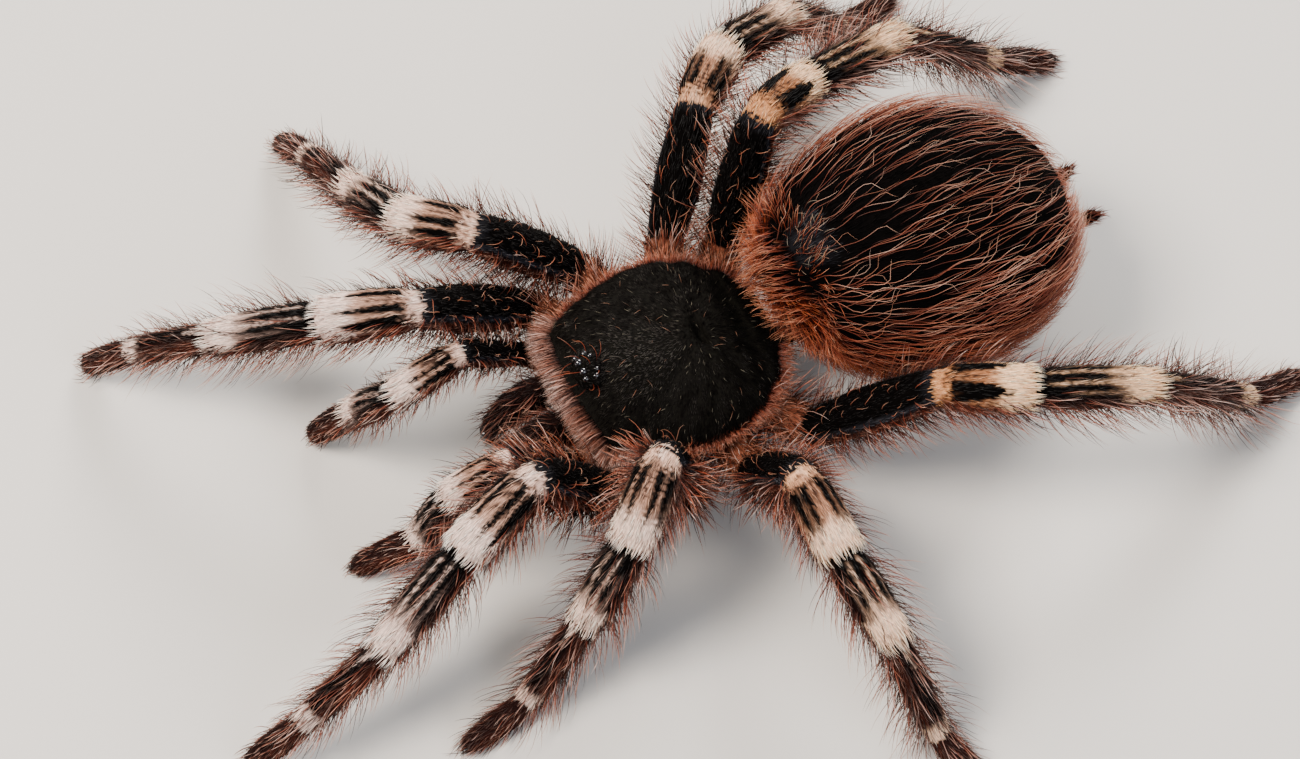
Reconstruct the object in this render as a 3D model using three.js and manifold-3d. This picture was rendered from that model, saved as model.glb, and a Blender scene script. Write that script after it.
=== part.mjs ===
// A life-size adult female white-kneed bird spider (tarantula), standing in a slow walking pose.
// Each solid is the flesh together with its short coat, cut apart where the animal's own joints are.
// Millimetres, +Z up, head towards -Y, the animal's left side at +X, floor at Z = 0.

import * as THREE from "three";
import { mergeVertices } from "three/addons/utils/BufferGeometryUtils.js";
import Module from "manifold-3d";

const wasm = await Module();
wasm.setup();

// ---------------------------------------------------------------- driving dimensions

const CUT = 0.3; // width of the thin cut between two neighbouring pieces
const LIMB_SIDES = 10; // corners of a section through a leg or a feeler
const BODY_SIDES = 24; // corners of a section through the carapace or the abdomen

// The front body leans a little: nose up, left side down. Its origin is the middle of the carapace's rim.
// The front body leans with the animal; its plates and jaws are also turned a little to the left.
const PROSOMA = { centre: [0, -0.8, 12.2], tilt: -4, roll: 4, turn: 4 };

// The outline and the crown give the half width and the height at equal steps from front to rear, as
// parts of the whole. Caput and fovea are bell-shaped, each with a row along the body and a spread.
const CARAPACE = {
  length: 27.6,
  width: 25.4,
  dome: 4.6,
  thickness: 0.8,
  outline: [0.68, 0.78, 0.88, 0.96, 1, 0.98, 0.88, 0.68, 0.32],
  crown: [0.62, 0.95, 1.0, 0.93, 0.9, 0.94, 0.82, 0.5, 0.12],
  caput: { rise: 1.7, row: 0.2, long: 0.17, wide: 5.2 },
  fovea: { depth: 1.3, row: 0.64, long: 0.045, wide: 2.4 },
};

const STERNUM = {
  front: -7.6,
  rear: 8.2,
  halfWidth: 4.9,
  top: -1.3,
  bottom: -7.2,
  outline: [0.42, 0.82, 1, 0.96, 0.72, 0.25],
};

const ABDOMEN = {
  length: 41.6,
  width: 34.4,
  height: 29.4,
  centre: [-0.6, 31.2, 17.2],
  yaw: 3,
  pitch: -4,
  overhang: 3.2, // how far the front rises over the carapace
  tailFullness: 0.06, // how much fuller the rear half is
  poleAngle: 7, // degrees from each end at which the egg is cut flat
  stalk: [
    [0, 9.4, 6.3],
    [0, 13.6, 6.9],
    [0, 17, 9.6],
    [0, 20.5, 13],
  ],
  stalkHalf: [2.0, 1.7, 1.7],
};

const EYES = { y: -11.4, length: 3.6, width: 4.4, height: 2.3, sunk: 0.4 };
const LENSES = [
  { x: 0.75, y: -0.75, z: 1.95, radius: 0.52 },
  { x: 1.6, y: -1.15, z: 1.2, radius: 0.5 },
  { x: 1.85, y: 0.35, z: 1.15, radius: 0.42 },
  { x: 1.2, y: 0.75, z: 1.6, radius: 0.36 },
];

// From under the carapace to the tip: place, then width as a part of the whole, top and bottom.
const CHELICERA = {
  x: 2.5,
  halfWidth: 2.3,
  stations: [
    { y: -9.6, z: -2.6, half: [0.7, 1.3, 1.3] },
    { y: -14.0, z: -2.5, half: [0.84, 1.4, 1.3] },
    { y: -14.9, z: -1.8, half: [0.96, 3.5, 2.8] },
    { y: -17.6, z: -2.0, half: [1, 4.1, 4.1] },
    { y: -20.2, z: -3.3, half: [0.94, 3.9, 3.6] },
    { y: -21.9, z: -5.0, half: [0.78, 3.1, 2.5] },
    { y: -22.7, z: -6.2, half: [0.5, 1.6, 1.4] },
  ],
};

// The hook turns about its centre from one angle to the other, in degrees, and leans inwards.
const FANG = {
  root: 0.95,
  tip: 0.28,
  centre: [2.5, -18.2, -7.9],
  reach: 3.9,
  drop: 2.6,
  inward: 1.1,
  from: -8,
  to: 150,
};

const SPINNERET = {
  x: 1.9,
  radius: 1.35,
  lengths: [1.9, 1.5, 1.4],
  waist: [1, 1.08, 0.86, 0.98, 0.76, 0.8, 0.36],
  aim: [0.28, 0.93, 0.22],
  row: -0.4, // from the egg's rear end
  level: -0.17, // of the abdomen's height, from its middle line
};

// Lengths from joint to joint: femur, patella, tibia, metatarsus, tarsus.
const LEG_LENGTHS = [
  [19.6, 11.8, 14.9, 12.9, 9.3],
  [18.0, 10.5, 12.8, 12.3, 9.0],
  [16.9, 10.0, 11.6, 15.1, 9.5],
  [19.8, 11.0, 15.2, 19.8, 9.6],
];
const PALP_LENGTHS = [14.0, 9.0, 10.0, 9.5]; // femur, patella, tibia, tarsus

// Where each limb leaves the front body, in that body's own frame: the inner end of its coxa beside
// the sternum, and its outer end.
const LEG_HIPS = [
  { inner: [5.9, -6.1, -4.5], outer: [13.2, -12.4, -3.0] },
  { inner: [6.2, -1.4, -4.7], outer: [16.1, -4.5, -3.2] },
  { inner: [6.2, 3.0, -4.8], outer: [16.6, 4.5, -3.3] },
  { inner: [5.5, 7.8, -4.9], outer: [13.4, 13.2, -3.3] },
];
const PALP_HIP = { inner: [3.1, -9.1, -5.9], outer: [7.8, -14.8, -3.8] };

// Degrees. Yaw turns the femur from straight ahead out to its side, bend adds to it at each later
// joint, and pitch is each segment's own rise. The last segment drops until its pad is on the floor.
// Swing carries the outer end of a coxa back along the body.
const LEG_POSE = {
  left: [
    { yaw: 15, pitch: [55, -30, -28, -25], bend: [0, 6, -8, -17] },
    { yaw: 39, pitch: [73, -36, -55, -36], bend: [3, -23, 3, -7] },
    { yaw: 97, pitch: [56, -17, -18, -57], bend: [0, 3, 10, 0] },
    { yaw: 149, pitch: [43, 1, -12, -43], bend: [7, 10, 16, 10] },
  ],
  right: [
    { yaw: -9, pitch: [41, -15, -26, -33], bend: [33, 5, 6, 5] },
    { yaw: 11, pitch: [45, -21, -32, -30], bend: [37, 28, 3, 0] },
    { yaw: 128, pitch: [35, -8, -15, -53], bend: [6, 28, 0, 0], swing: 2.2 },
    { yaw: 145, pitch: [67, -24, -15, -44], bend: [5, 14, 15, 4] },
  ],
};
const PALP_POSE = {
  left: { yaw: 12, pitch: [48, -39, -67], bend: [-22, 0, 0] },
  right: { yaw: -15, pitch: [47, -26, -54], bend: [15, 42, -7] },
};

// Half sections of a limb in its coat, from its near joint to its far one: width, top, bottom.
const LEG_SECTIONS = {
  coxa: [[1.9, 1.9, 2.0], [2.5, 2.3, 2.6], [2.9, 2.6, 2.9], [2.6, 2.6, 2.7]],
  femur: [
    [2.4, 2.5, 2.6],
    [2.9, 3.0, 3.3],
    [3.3, 3.3, 3.9],
    [3.4, 3.3, 3.8],
    [3.2, 3.2, 3.3],
    [3.0, 3.1, 2.9],
  ],
  patella: [[3.0, 3.1, 2.9], [3.2, 3.1, 3.1], [3.4, 3.2, 3.4], [3.4, 3.1, 3.4], [3.1, 2.9, 3.0]],
  tibia: [
    [3.1, 2.9, 3.0],
    [3.7, 3.1, 3.5],
    [4.0, 3.2, 3.8],
    [3.8, 3.1, 3.5],
    [3.4, 2.9, 3.1],
    [2.7, 2.5, 2.6],
  ],
  metatarsus: [[2.7, 2.5, 2.6], [3.1, 2.4, 2.9], [3.2, 2.3, 2.9], [2.7, 2.1, 2.4], [2.1, 1.9, 2.0]],
  tarsus: [[2.1, 1.9, 2.0], [2.3, 1.9, 1.9], [2.4, 1.8, 1.8], [2.2, 1.6, 1.9], [1.4, 0.9, 1.4]],
};
const PALP_SECTIONS = {
  coxa: [[1.3, 1.4, 1.5], [1.7, 1.5, 1.9], [1.9, 1.7, 2.0], [1.8, 1.8, 1.9]],
  femur: [[1.8, 1.8, 1.9], [2.0, 2.1, 2.4], [2.2, 2.4, 2.7], [2.2, 2.4, 2.7], [2.2, 2.3, 2.3]],
  patella: [[2.2, 2.3, 2.3], [2.5, 2.4, 2.5], [2.6, 2.4, 2.6], [2.5, 2.3, 2.4]],
  tibia: [[2.5, 2.3, 2.4], [2.9, 2.5, 2.7], [3.0, 2.5, 2.8], [2.6, 2.3, 2.4]],
  tarsus: [[2.6, 2.3, 2.4], [2.8, 2.3, 2.4], [2.7, 2.1, 2.1], [2.3, 1.8, 1.9], [1.4, 0.9, 1.4]],
};
const PAD_HEIGHT = 0.5; // height of a tarsus' axis over the floor at its very tip
const WIDEST_MITRE = 1.2; // how much an end section may grow where a limb bends sharply
const RING_CLEARANCE = 0.5; // from a mitre to the nearest full section
const END_SETBACK = 0.8; // from a free end to the nearest full section

// ---------------------------------------------------------------- finishes

const finish = (color, roughness) => () => new THREE.MeshStandardMaterial({ color, roughness, metalness: 0 });

const FINISHES = {
  shellPile: finish("#3b352b", 0.85),
  blackPile: finish("#1d1716", 0.9),
  rustFleece: finish("#7a4433", 0.95),
  creamBand: finish("#a8917c", 0.9),
  stripedPile: finish("#57453c", 0.9),
  darkPile: finish("#332320", 0.9),
  hornBlack: finish("#0d0b0c", 0.2),
};

// ---------------------------------------------------------------- surfaces

const radians = THREE.MathUtils.degToRad;
const vector = (x, y, z) => new THREE.Vector3(x, y, z);
const LATERAL = vector(1, 0, 0);
const VERTICAL = vector(0, 0, 1);

// A closed ring of points about a centre, with its own half height above and below the middle.
function ring(centre, side, rise, [width, top, bottom], corners, fullness = 1) {
  const points = [];
  for (let i = 0; i < corners; i += 1) {
    const angle = (2 * Math.PI * (i + 0.5)) / corners;
    const across = Math.sign(Math.cos(angle)) * Math.abs(Math.cos(angle)) ** fullness;
    const upward = Math.sign(Math.sin(angle)) * Math.abs(Math.sin(angle)) ** fullness;
    const height = upward > 0 ? top : bottom;
    const point = centre.clone();
    point.addScaledVector(side, width * across);
    point.addScaledVector(rise, height * upward);
    points.push(point);
  }
  return points;
}

// A closed solid through rings of equal count, with a flat cap at each end.
function loft(rings) {
  const count = rings[0].length;
  const last = (rings.length - 1) * count;
  const index = [];
  for (let start = 0; start < last; start += count) {
    for (let i = 0; i < count; i += 1) {
      const a = start + i;
      const b = start + ((i + 1) % count);
      index.push(a, a + count, b, b, a + count, b + count);
    }
  }
  for (let i = 1; i + 1 < count; i += 1) {
    index.push(0, i, i + 1, last, last + i + 1, last + i);
  }
  const places = rings.flat().flatMap((point) => point.toArray());
  const geometry = new THREE.BufferGeometry();
  geometry.setAttribute("position", new THREE.Float32BufferAttribute(places, 3));
  geometry.setIndex(index);
  geometry.computeVertexNormals();
  return geometry;
}

// Half width, top and bottom at a place between the given stations, with smooth passages.
function between(stations, place) {
  const span = stations.length - 1;
  const scaled = THREE.MathUtils.clamp(place, 0, 1) * span;
  const low = Math.min(Math.floor(scaled), span - 1);
  const step = THREE.MathUtils.smoothstep(scaled - low, 0, 1);
  return THREE.MathUtils.lerp(stations[low], stations[low + 1], step);
}

function toSolid(geometry) {
  const bare = geometry.clone();
  bare.deleteAttribute("normal");
  bare.deleteAttribute("uv");
  const merged = mergeVertices(bare, 1e-4);
  return new wasm.Manifold(
    new wasm.Mesh({
      numProp: 3,
      vertProperties: new Float32Array(merged.attributes.position.array),
      triVerts: new Uint32Array(merged.index.array),
    }),
  );
}

function toGeometry(solid) {
  const mesh = solid.getMesh();
  const geometry = new THREE.BufferGeometry();
  geometry.setAttribute("position", new THREE.BufferAttribute(mesh.vertProperties.slice(), 3));
  geometry.setIndex(new THREE.BufferAttribute(mesh.triVerts.slice(), 1));
  geometry.computeVertexNormals();
  return geometry;
}

// ---------------------------------------------------------------- body

// The group that carries the front body, set at its place and lean.
function prosomaFrame(turn = 0) {
  const frame = new THREE.Group();
  frame.position.set(...PROSOMA.centre);
  frame.rotation.set(radians(PROSOMA.tilt), radians(PROSOMA.roll), radians(turn));
  frame.updateMatrix();
  return frame;
}

// The carapace: a low dome with a raised caput in front and a pit, the fovea, behind the middle.
// Growing it by a margin gives the clearance that its neighbours keep.
function carapaceGeometry(margin = 0) {
  const { caput, fovea } = CARAPACE;
  const bell = (value, spread) => Math.exp(-((value / spread) ** 2));
  const rings = [];
  const steps = 16;
  for (let k = 0; k <= steps; k += 1) {
    const t = (1 - Math.cos((Math.PI * k) / steps)) / 2;
    const y = (t - 0.5) * (CARAPACE.length + 2 * margin);
    const halfWidth = (between(CARAPACE.outline, t) * CARAPACE.width) / 2 + margin;
    const crest = between(CARAPACE.crown, t) * CARAPACE.dome + margin;
    const points = [];
    for (let i = 0; i < BODY_SIDES; i += 1) {
      const angle = (2 * Math.PI * (i + 0.5)) / BODY_SIDES;
      const x = halfWidth * Math.cos(angle);
      const across = Math.cos(angle);
      const swell = caput.rise * bell(t - caput.row, caput.long) * bell(x, caput.wide);
      const pit = fovea.depth * bell(t - fovea.row, fovea.long) * bell(x, fovea.wide);
      const top = crest * Math.sqrt(1 - across * across) + swell - pit;
      const under = -(CARAPACE.thickness + margin) * Math.min(1, 4 * (1 - Math.abs(across)));
      points.push(vector(x, y, Math.sin(angle) > 0 ? top : under));
    }
    rings.push(points);
  }
  return loft(rings);
}

// The sternum: the shield between the hips, as deep as the room under the carapace.
function sternumGeometry() {
  const rings = [];
  const steps = 6;
  for (let k = 0; k <= steps; k += 1) {
    const y = THREE.MathUtils.lerp(STERNUM.front, STERNUM.rear, k / steps);
    const halfWidth = between(STERNUM.outline, k / steps) * STERNUM.halfWidth;
    const middle = (STERNUM.top + STERNUM.bottom) / 2;
    const halfHeight = (STERNUM.top - STERNUM.bottom) / 2;
    const half = [halfWidth, halfHeight, halfHeight];
    rings.push(ring(vector(0, y, middle), LATERAL, VERTICAL, half, 12, 0.5));
  }
  return loft(rings);
}

// The abdomen: an egg that is fuller behind, lifted in front to clear the carapace, on a short stalk.
function abdomenGeometry() {
  const steps = 14;
  const rings = [];
  for (let k = 0; k <= steps; k += 1) {
    const angle = radians(THREE.MathUtils.lerp(ABDOMEN.poleAngle, 180 - ABDOMEN.poleAngle, k / steps));
    const fullness = Math.sin(angle) * (1 - ABDOMEN.tailFullness * Math.cos(angle));
    const y = (-ABDOMEN.length / 2) * Math.cos(angle);
    const lift = ABDOMEN.overhang * Math.max(0, Math.cos(angle)) ** 3;
    const halfHeight = (ABDOMEN.height / 2) * fullness;
    const half = [(ABDOMEN.width / 2) * fullness, halfHeight, halfHeight];
    rings.push(ring(vector(0, y, lift), LATERAL, VERTICAL, half, BODY_SIDES));
  }
  const egg = loft(rings);
  egg.rotateX(radians(ABDOMEN.pitch));
  egg.rotateZ(radians(ABDOMEN.yaw));
  egg.translate(...ABDOMEN.centre);

  const stalkRings = ABDOMEN.stalk.map((place) => {
    return ring(vector(...place), LATERAL, VERTICAL, ABDOMEN.stalkHalf, 8);
  });
  return toGeometry(toSolid(egg).add(toSolid(loft(stalkRings))));
}

// The eye hill: a low mound that carries eight lenses in two rows, resting on the carapace.
function eyesGeometry() {
  const mound = new THREE.SphereGeometry(1, 14, 7);
  mound.scale(EYES.width / 2, EYES.length / 2, EYES.height);
  let solid = toSolid(mound);
  for (const lens of LENSES) {
    for (const side of [-1, 1]) {
      const dome = new THREE.SphereGeometry(lens.radius, 7, 5);
      dome.translate(side * lens.x, lens.y, lens.z);
      solid = solid.add(toSolid(dome));
    }
  }
  const seated = toGeometry(solid);
  const crest = CARAPACE.dome * 0.95 + CARAPACE.caput.rise * 0.75;
  seated.translate(0, EYES.y, crest - EYES.sunk);
  return toGeometry(toSolid(seated).subtract(toSolid(carapaceGeometry(CUT))));
}

// A chelicera: a bulging jaw base that comes out from under the carapace and turns down in front.
function cheliceraGeometry(side) {
  const rings = CHELICERA.stations.map(({ y, z, half }) => {
    const [width, top, bottom] = half;
    const centre = vector(side * CHELICERA.x, y, z);
    return ring(centre, LATERAL, VERTICAL, [width * CHELICERA.halfWidth, top, bottom], LIMB_SIDES);
  });
  return loft(rings.reverse());
}

// A fang: a tapering hook, folded back under its chelicera.
function fangGeometry(side) {
  const [x, y, z] = FANG.centre;
  const steps = 7;
  const rings = [];
  for (let k = 0; k <= steps; k += 1) {
    const t = k / steps;
    const turn = radians(THREE.MathUtils.lerp(FANG.from, FANG.to, t));
    const centre = vector(
      side * (x - FANG.inward * t),
      y - FANG.reach * Math.cos(turn) * (1 - 0.1 * t),
      z - FANG.drop * Math.sin(Math.max(turn, 0)),
    );
    const ahead = vector(0, Math.sin(turn), -Math.cos(turn)).normalize();
    const radius = THREE.MathUtils.lerp(FANG.root, FANG.tip, t);
    const rise = LATERAL.clone().cross(ahead);
    rings.push(ring(centre, LATERAL, rise, [radius, radius, radius], 8));
  }
  return loft(rings);
}

// A spinneret: three short finger joints that point back and a little up.
function spinneretGeometry(side) {
  const start = vector(side * SPINNERET.x, 0, 0);
  const [outward, backward, upward] = SPINNERET.aim;
  const ahead = vector(side * outward, backward, upward).normalize();
  const across = ahead.clone().cross(VERTICAL).normalize();
  const rise = across.clone().cross(ahead);
  const length = SPINNERET.lengths.reduce((sum, part) => sum + part, 0);
  const last = SPINNERET.waist.length - 1;
  const rings = SPINNERET.waist.map((girth, k) => {
    const centre = start.clone().addScaledVector(ahead, (length * k) / last);
    const radius = SPINNERET.radius * girth;
    return ring(centre, across, rise, [radius, radius, radius], 8);
  });
  return loft(rings);
}

// ---------------------------------------------------------------- limbs

// Unit heading of a segment from its yaw and pitch, mirrored on the right side.
function heading(side, yaw, pitch) {
  const level = Math.cos(radians(pitch));
  return vector(
    side * Math.sin(radians(yaw)) * level,
    -Math.cos(radians(yaw)) * level,
    Math.sin(radians(pitch)),
  );
}

// The joints of a limb, and the heading, side and rise of each of its segments.
function layPath(side, hip, lengths, pose) {
  const swing = pose.swing ?? 0;
  const placed = ([x, y, z]) => vector(side * x, y, z).applyMatrix4(prosomaFrame().matrix);
  const [outX, outY, outZ] = hip.outer;
  const joints = [placed(hip.inner), placed([outX - swing / 4, outY + swing, outZ])];
  let yaw = pose.yaw;
  lengths.forEach((length, i) => {
    const near = joints[joints.length - 1];
    yaw += i > 0 ? pose.bend[i - 1] : 0;
    const steepest = 0.95;
    const fall = THREE.MathUtils.clamp((near.z - PAD_HEIGHT) / length, 0, steepest);
    const drop = -THREE.MathUtils.radToDeg(Math.asin(fall));
    const pitch = i < pose.pitch.length ? pose.pitch[i] : drop;
    joints.push(near.clone().addScaledVector(heading(side, yaw, pitch), length));
  });
  const segments = [];
  for (let i = 0; i + 1 < joints.length; i += 1) {
    const along = joints[i + 1].clone().sub(joints[i]);
    const length = along.length();
    along.normalize();
    const across = along.clone().cross(VERTICAL).normalize();
    const rise = across.clone().cross(along);
    segments.push({ start: joints[i], end: joints[i + 1], length, along, rise });
  }
  return segments;
}

// The plane that halves the bend between two segments: its normal, its rise and the half angle.
function mitre(before, after) {
  const normal = before.along.clone().add(after.along).normalize();
  const rise = before.rise.clone().add(after.rise);
  rise.addScaledVector(normal, -rise.dot(normal)).normalize();
  return { normal, rise, half: before.along.angleTo(after.along) / 2 };
}

function mitredRing(segment, atEnd, neighbour, half, offset) {
  const centre = (atEnd ? segment.end : segment.start).clone();
  const plane = neighbour
    ? mitre(atEnd ? segment : neighbour, atEnd ? neighbour : segment)
    : { normal: segment.along, rise: segment.rise, half: 0 };
  const stretch = Math.min(1 / Math.cos(plane.half), WIDEST_MITRE);
  centre.addScaledVector(plane.normal, offset);
  const across = plane.normal.clone().cross(plane.rise);
  return ring(centre, across, plane.rise, [half[0], half[1] * stretch, half[2] * stretch], LIMB_SIDES);
}

// Rings along one segment. Its end rings lie in the mitre planes, and the others keep clear of them.
function segmentRings(path, index, sections, cutNear, cutFar) {
  const segment = path[index];
  const before = path[index - 1];
  const after = path[index + 1];
  const setback = (neighbour, half) => {
    if (!neighbour) {
      return END_SETBACK;
    }
    const bend = segment.along.angleTo(neighbour.along);
    return Math.max(...half) * Math.tan(bend / 2) + RING_CLEARANCE;
  };
  const near = setback(before, sections[1]);
  const far = segment.length - setback(after, sections[sections.length - 2]);
  const rings = [mitredRing(segment, false, before, sections[0], cutNear ? CUT / 2 : 0)];
  const inner = sections.length - 2;
  for (let k = 0; k < inner; k += 1) {
    const centre = segment.start.clone();
    centre.addScaledVector(segment.along, THREE.MathUtils.lerp(near, far, k / (inner - 1)));
    const across = segment.along.clone().cross(segment.rise);
    rings.push(ring(centre, across, segment.rise, sections[k + 1], LIMB_SIDES));
  }
  rings.push(mitredRing(segment, true, after, sections[sections.length - 1], cutFar ? -CUT / 2 : 0));
  return rings;
}

// Points that would reach under the floor are pressed flat onto it.
function pressFlat(rings) {
  for (const point of rings.flat()) {
    point.z = Math.max(point.z, 0);
  }
  return rings;
}

// The meshes of one limb, named from the body outwards.
function makeLimb(name, path, sections, pieces) {
  return pieces.map(({ node, parts, material }) => {
    const rings = parts.flatMap((part, k) => {
      const index = Object.keys(sections).indexOf(part);
      const cutFar = k === parts.length - 1 && path[index + 1];
      const found = segmentRings(path, index, sections[part], k === 0, cutFar);
      return k === 0 ? found : found.slice(1);
    });
    return makeMesh(`${name}_${node}`, loft(pressFlat(rings)), material);
  });
}

function makeMesh(name, geometry, material) {
  const mesh = new THREE.Mesh(geometry, FINISHES[material]());
  mesh.name = name;
  return mesh;
}

// ---------------------------------------------------------------- assembly

const LEG_PIECES = [
  { node: "coxa", parts: ["coxa"], material: "rustFleece" },
  { node: "femur", parts: ["femur"], material: "blackPile" },
  { node: "patella", parts: ["patella"], material: "creamBand" },
  { node: "tibia", parts: ["tibia"], material: "stripedPile" },
  { node: "foot", parts: ["metatarsus", "tarsus"], material: "darkPile" },
];
const PALP_PIECES = [
  { node: "coxa", parts: ["coxa"], material: "rustFleece" },
  { node: "femur", parts: ["femur"], material: "blackPile" },
  { node: "patella", parts: ["patella"], material: "creamBand" },
  { node: "tibia", parts: ["tibia"], material: "stripedPile" },
  { node: "tarsus", parts: ["tarsus"], material: "darkPile" },
];
const SIDES = { left: 1, right: -1 };

function makeProsoma() {
  const prosoma = prosomaFrame(PROSOMA.turn);
  prosoma.add(makeMesh("carapace", carapaceGeometry(), "shellPile"));
  prosoma.add(makeMesh("sternum", sternumGeometry(), "blackPile"));
  prosoma.add(makeMesh("eyes", eyesGeometry(), "hornBlack"));
  for (const [word, side] of Object.entries(SIDES)) {
    prosoma.add(makeMesh(`chelicera_${word}`, cheliceraGeometry(side), "blackPile"));
    prosoma.add(makeMesh(`fang_${word}`, fangGeometry(side), "hornBlack"));
  }
  return prosoma;
}

function makeAbdomen() {
  const abdomen = new THREE.Group();
  abdomen.add(makeMesh("abdomen", abdomenGeometry(), "rustFleece"));
  const tail = vector(0, ABDOMEN.length / 2 + SPINNERET.row, ABDOMEN.height * SPINNERET.level);
  tail.applyAxisAngle(vector(1, 0, 0), radians(ABDOMEN.pitch));
  tail.applyAxisAngle(VERTICAL, radians(ABDOMEN.yaw));
  tail.add(vector(...ABDOMEN.centre));
  for (const [word, side] of Object.entries(SIDES)) {
    const spinneret = makeMesh(`spinneret_${word}`, spinneretGeometry(side), "darkPile");
    spinneret.position.copy(tail);
    spinneret.rotation.z = radians(ABDOMEN.yaw);
    abdomen.add(spinneret);
  }
  return abdomen;
}

function makeTarantula() {
  const animal = new THREE.Group();
  animal.add(makeProsoma(), makeAbdomen());
  for (const [word, side] of Object.entries(SIDES)) {
    const palp = layPath(side, PALP_HIP, PALP_LENGTHS, PALP_POSE[word]);
    animal.add(...makeLimb(`palp_${word}`, palp, PALP_SECTIONS, PALP_PIECES));
    LEG_HIPS.forEach((hip, k) => {
      const leg = layPath(side, hip, LEG_LENGTHS[k], LEG_POSE[word][k]);
      animal.add(...makeLimb(`leg_${k + 1}_${word}`, leg, LEG_SECTIONS, LEG_PIECES));
    });
  }
  const box = new THREE.Box3().setFromObject(animal, true);
  const middle = box.getCenter(vector(0, 0, 0));
  animal.position.set(-middle.x, -middle.y, -box.min.z);
  return animal;
}

const group = new THREE.Group();
group.add(makeTarantula());

export default group;
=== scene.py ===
"""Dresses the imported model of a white-kneed tarantula: one skin, shell plates, eyes, fangs, claws and a coat.

Every shape is worked out in millimetres in the animal's own axes: the middle of the carapace over the
origin, head towards -Y, left side at +X, floor at Z = 0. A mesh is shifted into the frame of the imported
model, and turned to metres, as it is made. The coat is solid mesh: each hair or lock is a closed
three-sided spike with its own colours from root to tip.
"""

from __future__ import annotations

import logging
import math
from dataclasses import dataclass, field, fields, replace
from enum import Enum
from functools import partial
from typing import Callable, Sequence

import bpy
import numpy as np
from mathutils import Matrix, Vector
from mathutils.bvhtree import BVHTree
from mathutils.kdtree import KDTree

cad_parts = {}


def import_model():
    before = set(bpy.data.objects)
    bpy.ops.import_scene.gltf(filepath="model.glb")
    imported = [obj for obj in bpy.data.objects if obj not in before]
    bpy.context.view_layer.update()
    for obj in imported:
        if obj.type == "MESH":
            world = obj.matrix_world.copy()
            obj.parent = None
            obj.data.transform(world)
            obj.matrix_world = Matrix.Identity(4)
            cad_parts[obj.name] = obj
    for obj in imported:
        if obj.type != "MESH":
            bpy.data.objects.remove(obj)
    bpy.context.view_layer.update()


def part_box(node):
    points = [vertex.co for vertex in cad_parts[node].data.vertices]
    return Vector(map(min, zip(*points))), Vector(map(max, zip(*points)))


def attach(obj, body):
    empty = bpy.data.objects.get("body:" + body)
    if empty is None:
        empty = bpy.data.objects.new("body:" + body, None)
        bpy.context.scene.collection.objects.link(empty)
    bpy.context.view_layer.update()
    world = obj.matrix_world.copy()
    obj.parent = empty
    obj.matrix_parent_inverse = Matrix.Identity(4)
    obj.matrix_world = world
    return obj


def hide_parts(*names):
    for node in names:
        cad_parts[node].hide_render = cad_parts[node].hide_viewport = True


log = logging.getLogger("tarantula")

Array = np.ndarray
Dice = np.random.Generator
Pair = tuple[float, float]
Triple = tuple[float, float, float]
Share = Callable[[Array, Array], Array]

MM = 0.001
UP = np.array([0.0, 0.0, 1.0])
AHEAD = np.array([0.0, -1.0, 0.0])
FULL_TURN = 2.0 * np.pi
GOLDEN = (math.sqrt(5.0) - 1.0) / 2.0
SIDES = (("left", 1), ("right", -1))
SEED = 8135
FLOOR_GAP = 0.04  # lowest height of any hair, so that none dips under the floor
ROOT_DEPTH = 0.08  # how far under the skin a hair starts
PATCH = 0.003  # width of one hair's patch on the unwrap that the coat is baked to


# ---- numbers and vectors


def smooth_step(low: float, high: float, value: Array) -> Array:
    """Rises from 0 at low to 1 at high along 3u^2 - 2u^3."""
    u = np.clip((value - low) / (high - low), 0.0, 1.0)
    return u * u * (3.0 - 2.0 * u)


def fade(low: float, high: float, value: Array) -> Array:
    """Falls from 1 at low to 0 at high, as 1 less the smooth step."""
    return 1.0 - smooth_step(low, high, value)


def window(value: Array, low: float, high: float, soft: float) -> Array:
    """Is 1 between low and high and 0 outside, with edges that are soft wide."""
    return smooth_step(low - soft, low + soft, value) * fade(high - soft, high + soft, value)


def bell(value: Array, middle: float, width: float | Array) -> Array:
    """Is 1 at the middle and falls off as exp(-((value - middle) / width)^2)."""
    return np.exp(-(((value - middle) / width) ** 2))


def between(stations: Sequence[float], place: Array) -> Array:
    """Reads evenly spaced stations, eased from each one to the next by the smooth step.

    Args:
        stations: values at equal steps.
        place: where to read, 0 at the first station and 1 at the last.

    Returns:
        The value at each place.
    """
    table = np.asarray(stations, float)
    scaled = np.clip(place, 0.0, 1.0) * (len(table) - 1)
    low = np.minimum(scaled.astype(int), len(table) - 2)
    step = smooth_step(0.0, 1.0, scaled - low)
    return table[low] * (1.0 - step) + table[low + 1] * step


def read_line(at: Array, stations: Array, line: Array) -> Array:
    """Reads a line of points at places between its stations, straight from each one to the next."""
    return np.stack([np.interp(at, stations, line[:, k]) for k in range(3)], axis=-1)


def unit(vectors: Array) -> Array:
    """Scales each vector to length 1."""
    return vectors / np.maximum(np.linalg.norm(vectors, axis=-1, keepdims=True), 1e-9)


def turned(axis: str, degrees: float) -> Array:
    """Gives the 3 by 3 matrix of a right-handed turn about an axis, "X", "Y" or "Z"."""
    return np.array(Matrix.Rotation(math.radians(degrees), 3, axis))


def flatten_onto(vectors: Array, normals: Array) -> Array:
    """Takes from each vector its part along the normal and scales the rest to length 1."""
    return unit(vectors - normals * np.sum(vectors * normals, axis=-1, keepdims=True))


def circle(count: int, start: float = 0.0) -> Array:
    """Gives evenly spaced angles round a full turn, the first one start steps in."""
    return FULL_TURN * (np.arange(count) + start) / count


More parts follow.
